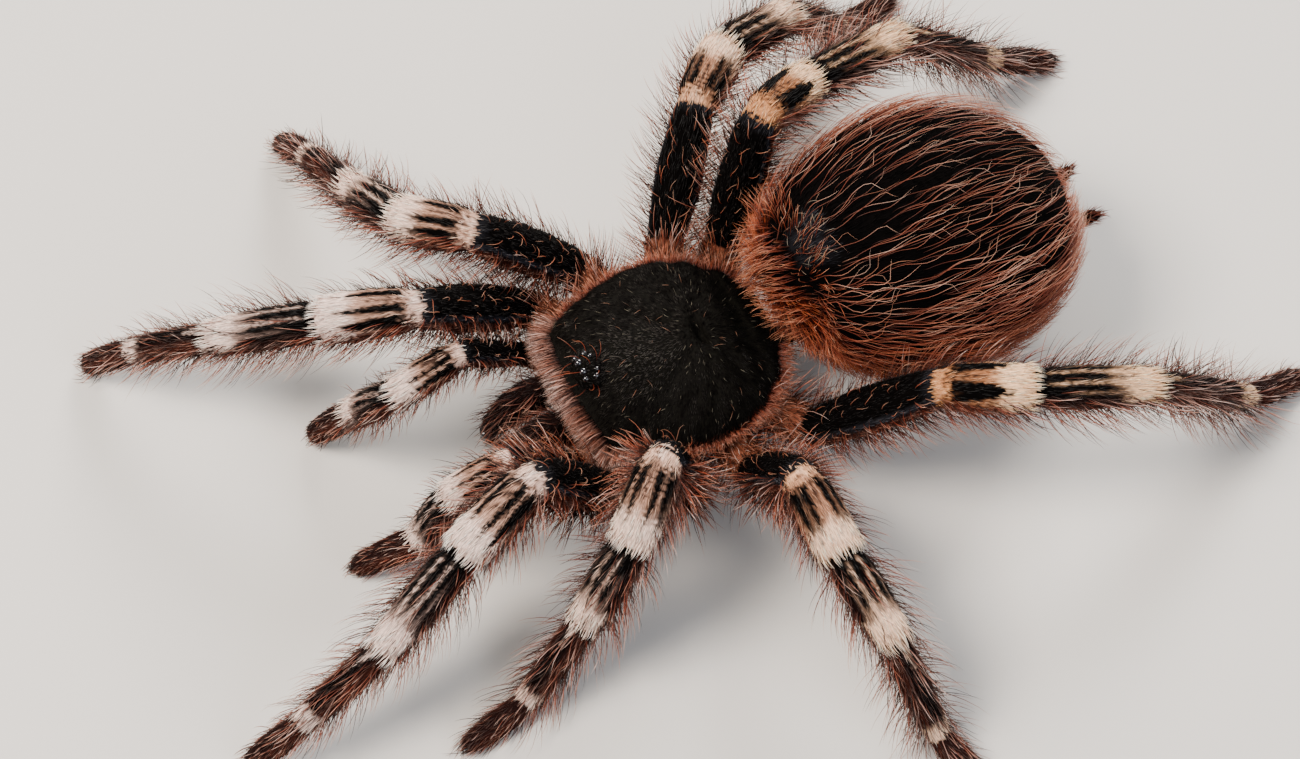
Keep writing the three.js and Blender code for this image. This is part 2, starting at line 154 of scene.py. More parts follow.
def tube(centre: Array, radius: Array, first: Array, second: Array, angle: Array) -> Array:
    """Carries a circle along a line: centre + radius * (cos angle * first + sin angle * second).

    Args:
        centre: the line's points.
        radius: the circle's radius at each of them.
        first: the direction at angle 0, one for all points or one for each.
        second: the direction a quarter turn on.
        angle: the angles of the points round a ring.

    Returns:
        The rings, each a row of points.
    """
    first, second = (np.broadcast_to(axis, centre.shape)[:, None] for axis in (first, second))
    spread = np.cos(angle)[:, None] * first + np.sin(angle)[:, None] * second
    return centre[:, None] + radius[:, None, None] * spread


def nearest_of(places: Array, points: Array) -> Array:
    """Finds the place that is nearest to each point.

    Args:
        places: the places to choose from.
        points: the points to choose for.

    Returns:
        The number of one place for each point.
    """
    tree = KDTree(len(places))
    for k, place in enumerate(places.tolist()):
        tree.insert(place, k)
    tree.balance()
    return np.array([tree.find(point)[1] for point in points.tolist()])


def ripple(points: Array, wavelength: float, seed: int) -> Array:
    """Smooth seeded noise from about -1 to 1: a sum of sine waves that run in seeded directions.

    Args:
        points: places in mm, any shape that ends in 3.
        wavelength: typical length of a wave in mm.
        seed: which noise.

    Returns:
        One value for each point.
    """
    dice = np.random.default_rng(seed)
    headings = unit(dice.normal(size=(7, 3)))
    stretch = dice.uniform(0.7, 1.6, 7) * FULL_TURN / wavelength
    phases = dice.uniform(0.0, FULL_TURN, 7)
    return np.sin(points @ (headings * stretch[:, None]).T + phases).sum(axis=-1) / 3.2


# ---- colours and finishes


def linear(code: str) -> Triple:
    """Turns an sRGB hex colour such as "#e8cfa4" into linear red, green and blue."""
    parts = [int(code[i : i + 2], 16) / 255.0 for i in (1, 3, 5)]
    return tuple(c / 12.92 if c <= 0.04045 else ((c + 0.055) / 1.055) ** 2.4 for c in parts)


def dye(root: str, middle: str, tip: str) -> Array:
    """Gives the linear colours of a hair at its root, middle and tip, as a 3 by 3 array."""
    return np.array([linear(root), linear(middle), linear(tip)])


class Dye:
    """The colours of the hairs, each from root to tip. The roots are darker, partly the hair's own colour and
    partly painted shade deep in the coat.
    """

    BLACK = dye("#030202", "#070505", "#0d0909")
    # Olive hair whose silvery pale tips are painted sheen.
    OLIVE = dye("#060505", "#171514", "#706b66")
    GLINT = dye("#3a372f", "#7d7768", "#b5ae9b")
    GREY = dye("#1b1b1f", "#3d3d44", "#75747b")
    UMBER = dye("#120909", "#2b1815", "#54362b")
    RUST = dye("#200a06", "#7c2e18", "#c46c42")
    EMBER = dye("#3c160d", "#96442a", "#d89872")
    SALMON = dye("#5c2418", "#bd6143", "#e9ab8e")
    ROSEWOOD = dye("#1e0e0b", "#7a4030", "#dcae98")
    # Rosy hair, partly its own colour and partly painted highlight on the outer fringes.
    BLUSH = dye("#33201c", "#a37b6e", "#eed9cf")
    TAN = dye("#5c3c2f", "#986d57", "#cda78f")
    AMBER = dye("#94552b", "#dc9457", "#f7c896")
    CREAM = dye("#d9a67c", "#ffd8b0", "#fff1de")
    CHALK = dye("#cfafa3", "#ffe6da", "#fffbf8")
    WAVE_RED = dye("#160705", "#682816", "#cd8f6c")
    WAVE_PALE = dye("#200b07", "#96543c", "#f4d8c4")
    SPIKE_RED = dye("#0c0505", "#5c2212", "#b0623c")
    SPIKE_PALE = dye("#180806", "#86381f", "#e2a683")
    BROW_PINK = dye("#20100d", "#85503f", "#c18c79")
    # Whitish brow hair: its pale colour is painted highlight.
    BROW_PALE = dye("#5c3a31", "#c99d8e", "#f6e4dc")


def tint(base: Array, other: Array, share: Array) -> Array:
    """Mixes hair colours: base where share is 0, other where it is 1."""
    weight = np.asarray(share)[..., None, None]
    return base * (1.0 - weight) + other * weight


def add_node(tree: bpy.types.NodeTree, kind: str, inputs: dict | None = None, **settings) -> bpy.types.Node:
    """Adds a shader node.

    Args:
        tree: the node tree.
        kind: the node's type name.
        inputs: for each input name or number, a value, or a socket to link from.
        **settings: the node's own properties.

    Returns:
        The new node.
    """
    node = tree.nodes.new(kind)
    for key, value in settings.items():
        setattr(node, key, value)
    for key, value in (inputs or {}).items():
        if isinstance(value, bpy.types.NodeSocket):
            tree.links.new(value, node.inputs[key])
        else:
            node.inputs[key].default_value = value
    return node


def blank_material(name: str) -> tuple[bpy.types.Material, bpy.types.NodeTree]:
    """Makes a material without any nodes.

    Args:
        name: the material's name.

    Returns:
        The material and its node tree.
    """
    material = bpy.data.materials.new(name)
    material.use_nodes = True
    material.node_tree.nodes.clear()
    return material, material.node_tree


def shaded_coat(
    tree: bpy.types.NodeTree, noise: bpy.types.NodeSocket, heard: Pair, said: Pair
) -> bpy.types.NodeSocket:
    """Multiplies the piece's own colours by a noise.

    Args:
        tree: the node tree.
        noise: the noise.
        heard: the range of the noise that counts.
        said: the factors at the ends of that range.

    Returns:
        The colour's socket.
    """
    colour = add_node(tree, "ShaderNodeAttribute", attribute_name="coat")
    span = {"From Min": heard[0], "From Max": heard[1], "To Min": said[0], "To Max": said[1]}
    shade = add_node(tree, "ShaderNodeMapRange", {"Value": noise, **span})
    scale = {0: colour.outputs["Color"], "Scale": shade.outputs["Result"]}
    return add_node(tree, "ShaderNodeVectorMath", scale, operation="SCALE").outputs["Vector"]


@dataclass(frozen=True)
class HairFinish:
    """Keratin-like hair of the coat: a thin smooth rod, so it takes a soft highlight along its length.

    Its colour is each hair's own, from root to tip. A fine mottle stands for the single hairs in a lock.
    """

    name: str
    roughness: float
    specular: float
    mottle: float = 0.35  # mm, about the width of a lock
    contrast: float = 0.25

    def material(self) -> bpy.types.Material:
        """Builds the material.

        Returns:
            The material.
        """
        material, tree = blank_material(self.name)
        place = add_node(tree, "ShaderNodeTexCoord")
        pattern = {"Vector": place.outputs["Object"], "Scale": 1.0 / (self.mottle * MM), "Detail": 2.0}
        grain = add_node(tree, "ShaderNodeTexNoise", pattern)
        look = {
            "Base Color": shaded_coat(tree, grain.outputs["Fac"], (0.3, 0.7), (1.0 - self.contrast, 1.0)),
            "Roughness": self.roughness,
            "Specular IOR Level": self.specular,
            "IOR": 1.55,
        }
        shader = add_node(tree, "ShaderNodeBsdfPrincipled", look)
        add_node(tree, "ShaderNodeOutputMaterial", {"Surface": shader.outputs["BSDF"]})
        return material


@dataclass(frozen=True)
class SkinFinish:
    """Thin chitin under a dense short pile: dull, with fine streaks that run the way the hair lies."""

    name: str = "skin_under_short_pile"
    strand: float = 0.12  # mm, width of a streak
    run: float = 1.1  # mm, length of a streak
    relief: float = 0.08  # mm, height of a streak
    roughness: float = 0.8
    specular: float = 0.02

    def material(self) -> bpy.types.Material:
        """Builds the material; the "lie" attribute holds mm round the limb and along it.

        Returns:
            The material.
        """
        material, tree = blank_material(self.name)
        lie = add_node(tree, "ShaderNodeAttribute", attribute_name="lie")
        scale = (1.0 / self.strand, 1.0 / self.strand, 1.0 / self.run)
        combed = add_node(tree, "ShaderNodeMapping", {"Vector": lie.outputs["Vector"], "Scale": scale})
        pattern = {"Vector": combed.outputs["Vector"], "Scale": 1.0, "Detail": 3.0}
        streaks = add_node(tree, "ShaderNodeTexNoise", pattern)
        relief = {"Height": streaks.outputs["Fac"], "Strength": 0.8, "Distance": self.relief * MM}
        look = {
            "Base Color": shaded_coat(tree, streaks.outputs["Fac"], (0.35, 0.7), (0.45, 1.15)),
            "Roughness": self.roughness,
            "Specular IOR Level": self.specular,
            "Normal": add_node(tree, "ShaderNodeBump", relief).outputs["Normal"],
        }
        shader = add_node(tree, "ShaderNodeBsdfPrincipled", look)
        add_node(tree, "ShaderNodeOutputMaterial", {"Surface": shader.outputs["BSDF"]})
        return material


@dataclass(frozen=True)
class ChitinFinish:
    """Bare hardened shell: dark, with a satin to glossy skin and fine pores."""

    name: str
    colour: str
    shade: str
    roughness: float
    specular: float = 0.5
    coat: float = 0.0
    coat_roughness: float = 0.08
    pore: float = 0.4  # mm between pores
    relief: float = 0.02  # mm, depth of a pore

    def material(self) -> bpy.types.Material:
        """Builds the material: clouds two and a half pores wide run between its two colours.

        Returns:
            The material.
        """
        material, tree = blank_material(self.name)
        place = add_node(tree, "ShaderNodeTexCoord").outputs["Object"]
        cloudy = {"Vector": place, "Scale": 1.0 / (2.5 * self.pore * MM), "Detail": 4.0}
        clouds = add_node(tree, "ShaderNodeTexNoise", cloudy)
        ramp = add_node(tree, "ShaderNodeValToRGB", {"Fac": clouds.outputs["Fac"]})
        for stop, position, code in zip(ramp.color_ramp.elements, (0.35, 0.65), (self.shade, self.colour)):
            stop.position = position
            stop.color = (*linear(code), 1.0)
        pores = add_node(tree, "ShaderNodeTexVoronoi", {"Vector": place, "Scale": 1.0 / (self.pore * MM)})
        relief = {"Height": pores.outputs["Distance"], "Strength": 0.6, "Distance": self.relief * MM}
        look = {
            "Base Color": ramp.outputs["Color"],
            "Roughness": self.roughness,
            "Specular IOR Level": self.specular,
            "Coat Weight": self.coat,
            "Coat Roughness": self.coat_roughness,
            "Normal": add_node(tree, "ShaderNodeBump", relief).outputs["Normal"],
        }
        shader = add_node(tree, "ShaderNodeBsdfPrincipled", look)
        add_node(tree, "ShaderNodeOutputMaterial", {"Surface": shader.outputs["BSDF"]})
        return material


# Upright pile loses the light between its hairs, so it stays deep black.
VELVET = HairFinish("hair_velvet_black", roughness=0.8, specular=0.02)
# Long smooth hairs gleam softly along their length.
FLEECE = HairFinish("hair_fleece_rust", roughness=0.45, specular=0.2)
# Limb hair is coarser and a little duller.
LIMB_HAIR = HairFinish("hair_limb_banded", roughness=0.5, specular=0.15)
# Matt plates that scatter what light the pile over them lets through.
SHELL = ChitinFinish(
    "chitin_shell_matt", "#0d0c09", "#060504", roughness=0.7, specular=0.03, pore=0.15, relief=0.05
)
# Thick polished chitin, near black with a red cast and a sharp highlight.
HORN = ChitinFinish(
    "chitin_fang_polished", "#150b09", "#050303", roughness=0.16, coat=0.6, pore=0.25, relief=0.008
)
# A clear cornea over black pigment: it mirrors the lamps.
LENS = ChitinFinish(
    "cornea_black_gloss", "#0a0c12", "#020204", roughness=0.05, coat=1.0, pore=0.5, relief=0.0
)


# ---- meshes


@dataclass
class Placement:
    """Where the animal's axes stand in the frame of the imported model, in mm."""

    shift: Array

    @classmethod
    def from_frame(cls, shell: Array) -> "Placement":
        """Finds the shift that brings the middle of the shell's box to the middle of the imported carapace's.

        Args:
            shell: points of the carapace's outer surface in the animal's axes, in mm.

        Returns:
            The placement.
        """
        low, high = (np.array(corner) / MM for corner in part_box("carapace"))
        middle = (shell.reshape(-1, 3).min(axis=0) + shell.reshape(-1, 3).max(axis=0)) / 2.0
        return cls((low + high) / 2.0 - middle)

    def metres(self, points: Array) -> Array:
        """Moves points from the animal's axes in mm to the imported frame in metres."""
        return (points.reshape(-1, 3) + self.shift) * MM


def new_object(name: str, mesh: bpy.types.Mesh, material: bpy.types.Material | None) -> bpy.types.Object:
    """Links a mesh into the scene as an object at the origin.

    Args:
        name: the object's name.
        mesh: its mesh.
        material: its material, or None to give it one later.

    Returns:
        The object.
    """
    thing = bpy.data.objects.new(name, mesh)
    bpy.context.scene.collection.objects.link(thing)
    if material is not None:
        mesh.materials.append(material)
    return thing


def mesh_from(name: str, points: Array, corners: Array) -> bpy.types.Mesh:
    """Makes a smooth-shaded mesh from faces that all have the same number of corners.

    Args:
        name: the mesh's name.
        points: vertex places in metres, one row each.
        corners: vertex numbers, one row for each face.

    Returns:
        The mesh.
    """
    mesh = bpy.data.meshes.new(name)
    mesh.vertices.add(len(points))
    mesh.vertices.foreach_set("co", np.ascontiguousarray(points, np.float32).ravel())
    mesh.loops.add(corners.size)
    mesh.loops.foreach_set("vertex_index", np.ascontiguousarray(corners, np.int32).ravel())
    mesh.polygons.add(len(corners))
    mesh.polygons.foreach_set("loop_start", np.arange(0, corners.size, corners.shape[1], dtype=np.int32))
    mesh.polygons.foreach_set("use_smooth", np.ones(len(corners), bool))
    mesh.update(calc_edges=True)
    return mesh


def paint_points(mesh: bpy.types.Mesh, colours: Array) -> None:
    """Stores linear colours, one for each vertex, as the colour attribute that the finishes read.

    Args:
        mesh: the mesh.
        colours: red, green and blue for each vertex.
    """
    layer = mesh.color_attributes.new("coat", "FLOAT_COLOR", "POINT")
    rgba = np.ones((len(colours), 4), np.float32)
    rgba[:, :3] = colours
    layer.data.foreach_set("color", rgba.ravel())


def wall_faces(rings: int, columns: int) -> Array:
    """Gives the triangles between each closed ring of points and the next.

    Args:
        rings: how many rings there are, one after another in the list of points.
        columns: how many points a ring has.

    Returns:
        Three point numbers for each triangle.
    """
    ring = np.arange(columns)
    start = (np.arange(rings - 1) * columns)[:, None]
    a, b = start + ring, start + (ring + 1) % columns
    return np.stack([a, a + columns, b, b, a + columns, b + columns], axis=-1).reshape(-1, 3)


@dataclass
class Sheet:
    """A closed surface given as a grid of rings: rows run along the body part, columns round it.

    A place on it is u, in rows, and v, from 0 to 1 round the ring. Values between the grid's points are
    read by straight interpolation in both directions.
    """

    grid: Array
    wrapped: Array = field(init=False)
    cell_area: Array = field(init=False)

    def __post_init__(self) -> None:
        """Closes the rings and measures the cells."""
        self.wrapped = np.concatenate([self.grid, self.grid[:, :1]], axis=1)
        along = np.diff(self.wrapped, axis=0)[:, :-1]
        around = np.diff(self.wrapped, axis=1)[:-1]
        self.cell_area = np.linalg.norm(np.cross(along, around), axis=-1)

    def point(self, u: Array, v: Array) -> Array:
        """Reads the points at places on the sheet.

        Args:
            u: rows.
            v: parts of a turn round the ring.

        Returns:
            One point for each place.
        """
        rows, columns = self.grid.shape[:2]
        i = np.clip(u.astype(int), 0, rows - 2)
        x = np.clip(u - i, 0.0, 1.0)[:, None]
        scaled = (v % 1.0) * columns
        j = np.minimum(scaled.astype(int), columns - 1)
        y = (scaled - j)[:, None]
        near = self.wrapped[i, j] * (1.0 - y) + self.wrapped[i, j + 1] * y
        far = self.wrapped[i + 1, j] * (1.0 - y) + self.wrapped[i + 1, j + 1] * y
        return near * (1.0 - x) + far * x

    def along(self, u: Array, v: Array) -> Array:
        """Gives the unit direction in which u grows."""
        return unit(self.point(u + 0.5, v) - self.point(u - 0.5, v))

    def scatter(self, per_mm2: float, dice: Dice) -> tuple[Array, Array]:
        """Spreads places evenly over the area: rows by the summed area, columns by the golden ratio.

        Args:
            per_mm2: how many to a square millimetre.
            dice: the random generator for the small shifts.

        Returns:
            The u and v of the places.
        """
        columns = self.grid.shape[1]
        widest = self.cell_area.max(axis=1) * columns
        total = np.concatenate([[0.0], np.cumsum(widest)])
        count = max(int(total[-1] * per_mm2), 1)
        order = np.arange(count)
        even = (order + dice.uniform(0.0, 1.0, count)) / count * total[-1]
        u = np.interp(even, total, np.arange(len(total)))
        v = (order * GOLDEN + dice.uniform(-0.5, 0.5, count) * 0.6 / np.sqrt(columns)) % 1.0
        i = np.minimum(u.astype(int), len(widest) - 1)
        j = np.minimum((v * columns).astype(int), columns - 1)
        kept = dice.uniform(0.0, 1.0, count) * widest[i] < self.cell_area[i, j] * columns
        return u[kept], v[kept]

    def solid(self) -> tuple[Array, Array]:
        """Closes the surface with a middle point and a fan of triangles at each end.

        A negative sum of the triple products of its corners, seen from the middle, means that the faces
        look inwards, and they are turned round.

        Returns:
            The points, ring by ring and then the two middles, and the triangles.
        """
        rows, columns = self.grid.shape[:2]
        ring = np.arange(columns)
        after = (ring + 1) % columns
        near, last = rows * columns, (rows - 1) * columns
        front = np.stack([np.full(columns, near), ring, after], axis=-1)
        rear = np.stack([np.full(columns, near + 1), last + after, last + ring], axis=-1)
        corners = np.concatenate([wall_faces(rows, columns), front, rear])
        points = np.concatenate([self.grid.reshape(-1, 3), self.grid[[0, -1]].mean(axis=1)])
        tri = points[corners] - points.mean(axis=0)
        volume = np.sum(np.cross(tri[:, 0], tri[:, 1]) * tri[:, 2])
        return points, corners if volume > 0.0 else corners[:, ::-1]


def joined(sheets: Sequence[Sheet]) -> tuple[Array, Array]:
    """Joins several closed surfaces into one list of points and one of triangles.

    Args:
        sheets: the surfaces.

    Returns:
        The points and the triangles.
    """
    points, corners, used = [], [], 0
    for sheet in sheets:
        more, faces = sheet.solid()
        points.append(more)
        corners.append(faces + used)
        used += len(more)
    return np.concatenate(points), np.concatenate(corners)


@dataclass
class Hide:
    """A finished surface that hairs are planted on."""

    tree: BVHTree

    @classmethod
    def of(cls, points: Array, corners: Array) -> "Hide":
        """Builds the search tree of a surface in mm."""
        return cls(BVHTree.FromPolygons(points.tolist(), corners.tolist()))

    def land(self, points: Array) -> tuple[Array, Array, Array]:
        """Finds the nearest place on the surface for each point.

        Args:
            points: the points in mm.

        Returns:
            The places, the surface's normals there and how far away they are.
        """
        found = [self.tree.find_nearest(p) for p in points.tolist()]
        places, normals = (np.array([f[k] for f in found]) for k in (0, 1))
        return places, normals, np.linalg.norm(places - points, axis=1)


# ---- hair


@dataclass
class Plot:
    """Planted roots: their place on the sheet, in space, the directions the hair knows, and on the unwrap."""

    u: Array
    v: Array
    root: Array
    normal: Array
    lie: Array
    chart: Array

    def keep(self, chosen: Array) -> "Plot":
        """Keeps only the chosen roots."""
        return Plot(*(getattr(self, item.name)[chosen] for item in fields(self)))

    def __len__(self) -> int:
        """How many roots there are."""
        return len(self.u)


Painter = Callable[[Plot], Array]


def plant(
    sheet: Sheet, hide: Hide, per_mm2: float, dice: Dice, share: Share | None = None, reach: float = 0.7
) -> Plot:
    """Plants roots over a sheet and sinks them a little under the finished surface.

    Args:
        sheet: the surface in its own coordinates.
        hide: the finished surface; roots further from it than reach lie inside a neighbour and are dropped.
        per_mm2: the most roots to a square millimetre.
        dice: the random generator.
        share: from u and v, the part of the roots that is kept, 0 to 1.
        reach: in mm.

    Returns:
        The roots, whose lie runs the way u grows, along the surface.
    """
    u, v = sheet.scatter(per_mm2, dice)
    if share is not None:
        kept = dice.uniform(0.0, 1.0, len(u)) < share(u, v)
        u, v = u[kept], v[kept]
    places, normals, gap = hide.land(sheet.point(u, v))
    chart = np.stack([u / (len(sheet.grid) - 1), v], axis=-1)
    plot = Plot(u, v, places - ROOT_DEPTH * normals, normals, sheet.along(u, v), chart).keep(gap < reach)
    plot.lie = flatten_onto(plot.lie, plot.normal)
    return plot


@dataclass(frozen=True)
class Habit:
    """How one kind of hair grows. Lengths in mm, angles in degrees; a pair is the range it varies in."""

    length: Pair
    width: float
    lift: Pair  # angle from the skin at the root
    turn: Pair  # how much that angle changes by the tip
    splay: float = 8.0  # sideways, from the lie
    sway: float = 0.0  # sideways wave, as a part of the length
    waves: float = 1.0
    rings: int = 2
    flat: float = 0.6  # thickness as a part of the width
    taper: float = 1.6


def arcs(plot: Plot, habit: Habit, dice: Dice, stretch: Array | float = 1.0) -> Array:
    """Grows each hair as an arc: its angle from the skin changes steadily from root to tip.

    With angle a(t) = lift + turn * t, the place is the integral of cos a along the lie plus sin a along
    the normal, and a sine wave is added sideways.

    Args:
        plot: the roots.
        habit: how the hair grows.
        dice: the random generator.
        stretch: a factor on each hair's length.

    Returns:
        The middle lines, hairs by rings + 1 by 3.
    """
    count = len(plot)
    t = np.linspace(0.0, 1.0, habit.rings + 1)[None, :]
    length = (dice.uniform(*habit.length, count) * stretch)[:, None]
    lift = np.radians(dice.uniform(*habit.lift, count))[:, None]
    turn = np.radians(dice.uniform(*habit.turn, count))[:, None]
    turn = np.where(np.abs(turn) < 0.02, 0.02, turn)
    splay = np.radians(dice.normal(0.0, habit.splay, count))[:, None]
    side = np.cross(plot.normal, plot.lie)
    ahead = np.cos(splay) * plot.lie + np.sin(splay) * side
    along = length * (np.sin(lift + turn * t) - np.sin(lift)) / turn
    above = length * (np.cos(lift) - np.cos(lift + turn * t)) / turn
    path = plot.root[:, None] + along[..., None] * ahead[:, None] + above[..., None] * plot.normal[:, None]
    if habit.sway:
        phase = dice.uniform(0.0, FULL_TURN, count)[:, None]
        swing = np.sin(FULL_TURN * habit.waves * t + phase) - np.sin(phase)
        path += (habit.sway * length * swing * t)[..., None] * np.cross(plot.normal, ahead)[:, None]
    return path


@dataclass(frozen=True)
class Lock:
    """How hairs draw together: how many share a leader, how far the tips close up, and from how far in mm."""

    hairs: int
    pull: float
    reach: float = 1.6


def gather(path: Array, dice: Dice, lock: Lock) -> Array:
    """Draws the tips of neighbouring hairs together into locks.

    One hair in each lock leads. The others lean towards it by pull * t^1.5 of the gap between them, t being
    the place along the hair, so the roots stay where they are.

    Args:
        path: middle lines, hairs by rings + 1 by 3.
        dice: the random generator that picks the leaders.
        lock: how the hairs draw together.

    Returns:
        The new middle lines.
    """
    count = len(path)
    if count < 2 * lock.hairs:
        return path
    leaders = dice.permutation(count)[: count // lock.hairs]
    gap = path[leaders[nearest_of(path[leaders, 0], path[:, 0])]] - path
    close = np.linalg.norm(gap[:, 0], axis=1) < lock.reach
    t = np.linspace(0.0, 1.0, path.shape[1])[None, :, None]
    return path + lock.pull * close[:, None, None] * t**1.5 * gap


def blend(base: Array, other: Array, dice: Dice, low: float = 0.0, high: float = 1.0) -> Painter:
    """Gives a painter that mixes two dyes, by a random share from low to high for each hair."""
    return lambda plot: tint(base, other, dice.uniform(low, high, len(plot)))


@dataclass
class Fleece:
    """Collects hairs for one joined coat piece, whose unwrap has one strip for each of its body parts."""

    name: str
    finish: HairFinish
    slot: str
    strips: int = 1
    points: list[Array] = field(default_factory=list)
    corners: list[Array] = field(default_factory=list)
    colours: list[Array] = field(default_factory=list)
    unwrap: list[Array] = field(default_factory=list)
    used: int = 0

    def add(self, path: Array, habit: Habit, plot: Plot, colours: Array, dice: Dice, strip: int = 0) -> None:
        """Adds hairs: three-sided spikes along the given middle lines, closed at the root and the tip.

        Ring k lies at t = k / rings and has half width w/2 * (1 - t^taper); the ring's first corner
        stands on the normal's side and is as high as the hair is flat.

        Args:
            path: middle lines, hairs by rings + 1 by 3, in mm.
            habit: gives width, flatness and taper.
            plot: the roots.
            colours: root, middle and tip colours, one 3 by 3 array for each hair.
            dice: the random generator for the small differences of width and shade.
            strip: which strip of the unwrap the hairs belong to.
        """
        count, rings = path.shape[0], path.shape[1] - 1
        if not count:
            return
        path = path.copy()
        path[..., 2] = np.maximum(path[..., 2], FLOOR_GAP)
        heading = np.gradient(path, axis=1)[:, :rings]
        side = unit(np.cross(heading, plot.normal[:, None]))
        rise = unit(np.cross(side, heading))
        t = np.arange(rings) / rings
        half = habit.width / 2.0 * (1.0 - t**habit.taper) * dice.uniform(0.8, 1.15, count)[:, None]
        angle = np.radians([90.0, 210.0, 330.0])
        upward = habit.flat * np.sin(angle)[:, None] * rise[:, :, None]
        spread = np.cos(angle)[:, None] * side[:, :, None] + upward
        ring = path[:, :rings, None] + half[..., None, None] * spread
        ring[..., 2] = np.maximum(ring[..., 2], FLOOR_GAP / 2.0)
        size = 3 * rings + 1
        points = np.concatenate([ring.reshape(count, 3 * rings, 3), path[:, -1:]], axis=1)
        self.points.append(points.reshape(-1, 3))

        last = size - 4 + np.arange(3)
        tip = np.stack([last, np.full(3, size - 1), np.roll(last, -1)], axis=-1)
        template = np.concatenate([[[0, 1, 2]], wall_faces(rings, 3), tip])
        offsets = self.used + size * np.arange(count)
        self.corners.append((template[None] + offsets[:, None, None]).reshape(-1, 3))

        # Blend from root to tip; the darker roots are partly painted shade deep in the coat.
        place = np.append(np.repeat(t, 3), 1.0)
        first = np.clip(1.0 - place / 0.5, 0.0, 1.0)[None, :, None]
        final = np.clip(place / 0.5 - 1.0, 0.0, 1.0)[None, :, None]
        root, middle, end = (colours[:, None, k] for k in range(3))
        shade = root * first + middle * (1.0 - first - final) + end * final
        shade = shade * np.exp(dice.normal(0.0, 0.16, count))[:, None, None]
        self.colours.append(np.clip(shade, 0.0, 1.0).reshape(-1, 3))

        across = np.append(np.tile([0.5, 0.0, 1.0], rings), 0.5)
        u = PATCH + plot.chart[:, 0] * (1.0 - 2.0 * PATCH)
        v = PATCH + (strip + plot.chart[:, 1]) / self.strips * (1.0 - 2.0 * PATCH)
        patch = np.stack([u[:, None] + (across - 0.5) * PATCH, v[:, None] + (place - 0.5) * PATCH], axis=-1)
        self.unwrap.append(patch.reshape(-1, 2))
        self.used += size * count

    def grow(
        self,
        plot: Plot,
        habit: Habit,
        colours: Array | Painter,
        dice: Dice,
        lock: Lock | None = None,
        strip: int = 0,
        stretch: Array | float = 1.0,
        clear: Callable[[Plot, Array], Array] | None = None,
    ) -> None:
        """Grows hairs from planted roots and adds them.

        Args:
            plot: the roots.
            habit: how the hair grows.
            colours: root, middle and tip colours of each hair, or a painter that gives them once it is grown.
            dice: the random generator.
            lock: how the hairs draw together, if they do.
            strip: which strip of the unwrap they belong to.
            stretch: a factor on each hair's length.
            clear: from the roots and the middle lines, which hairs to keep.
        """
        if not len(plot):
            return
        path = arcs(plot, habit, dice, stretch)
        if lock is not None:
            path = gather(path, dice, lock)
        if clear is not None:
            free = clear(plot, path)
            plot, path = plot.keep(free), path[free]
        self.add(path, habit, plot, colours(plot) if callable(colours) else colours, dice, strip)

    def weave(self, placement: Placement) -> None:
        """Joins the hairs into one object with its colours and its unwrap, and rides it on the body.

        Args:
            placement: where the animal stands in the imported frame.
        """
        corners = np.concatenate(self.corners)
        mesh = mesh_from(self.name, placement.metres(np.concatenate(self.points)), corners)
        paint_points(mesh, np.concatenate(self.colours))
        layer = mesh.uv_layers.new(name="OFBake")
        layer.data.foreach_set("uv", np.concatenate(self.unwrap)[corners.ravel()].astype(np.float32).ravel())
        thing = new_object(self.name, mesh, self.finish.material())
        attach(thing, "root")
        log.info("%s: %d triangles", self.name, len(corners))


# ---- front body


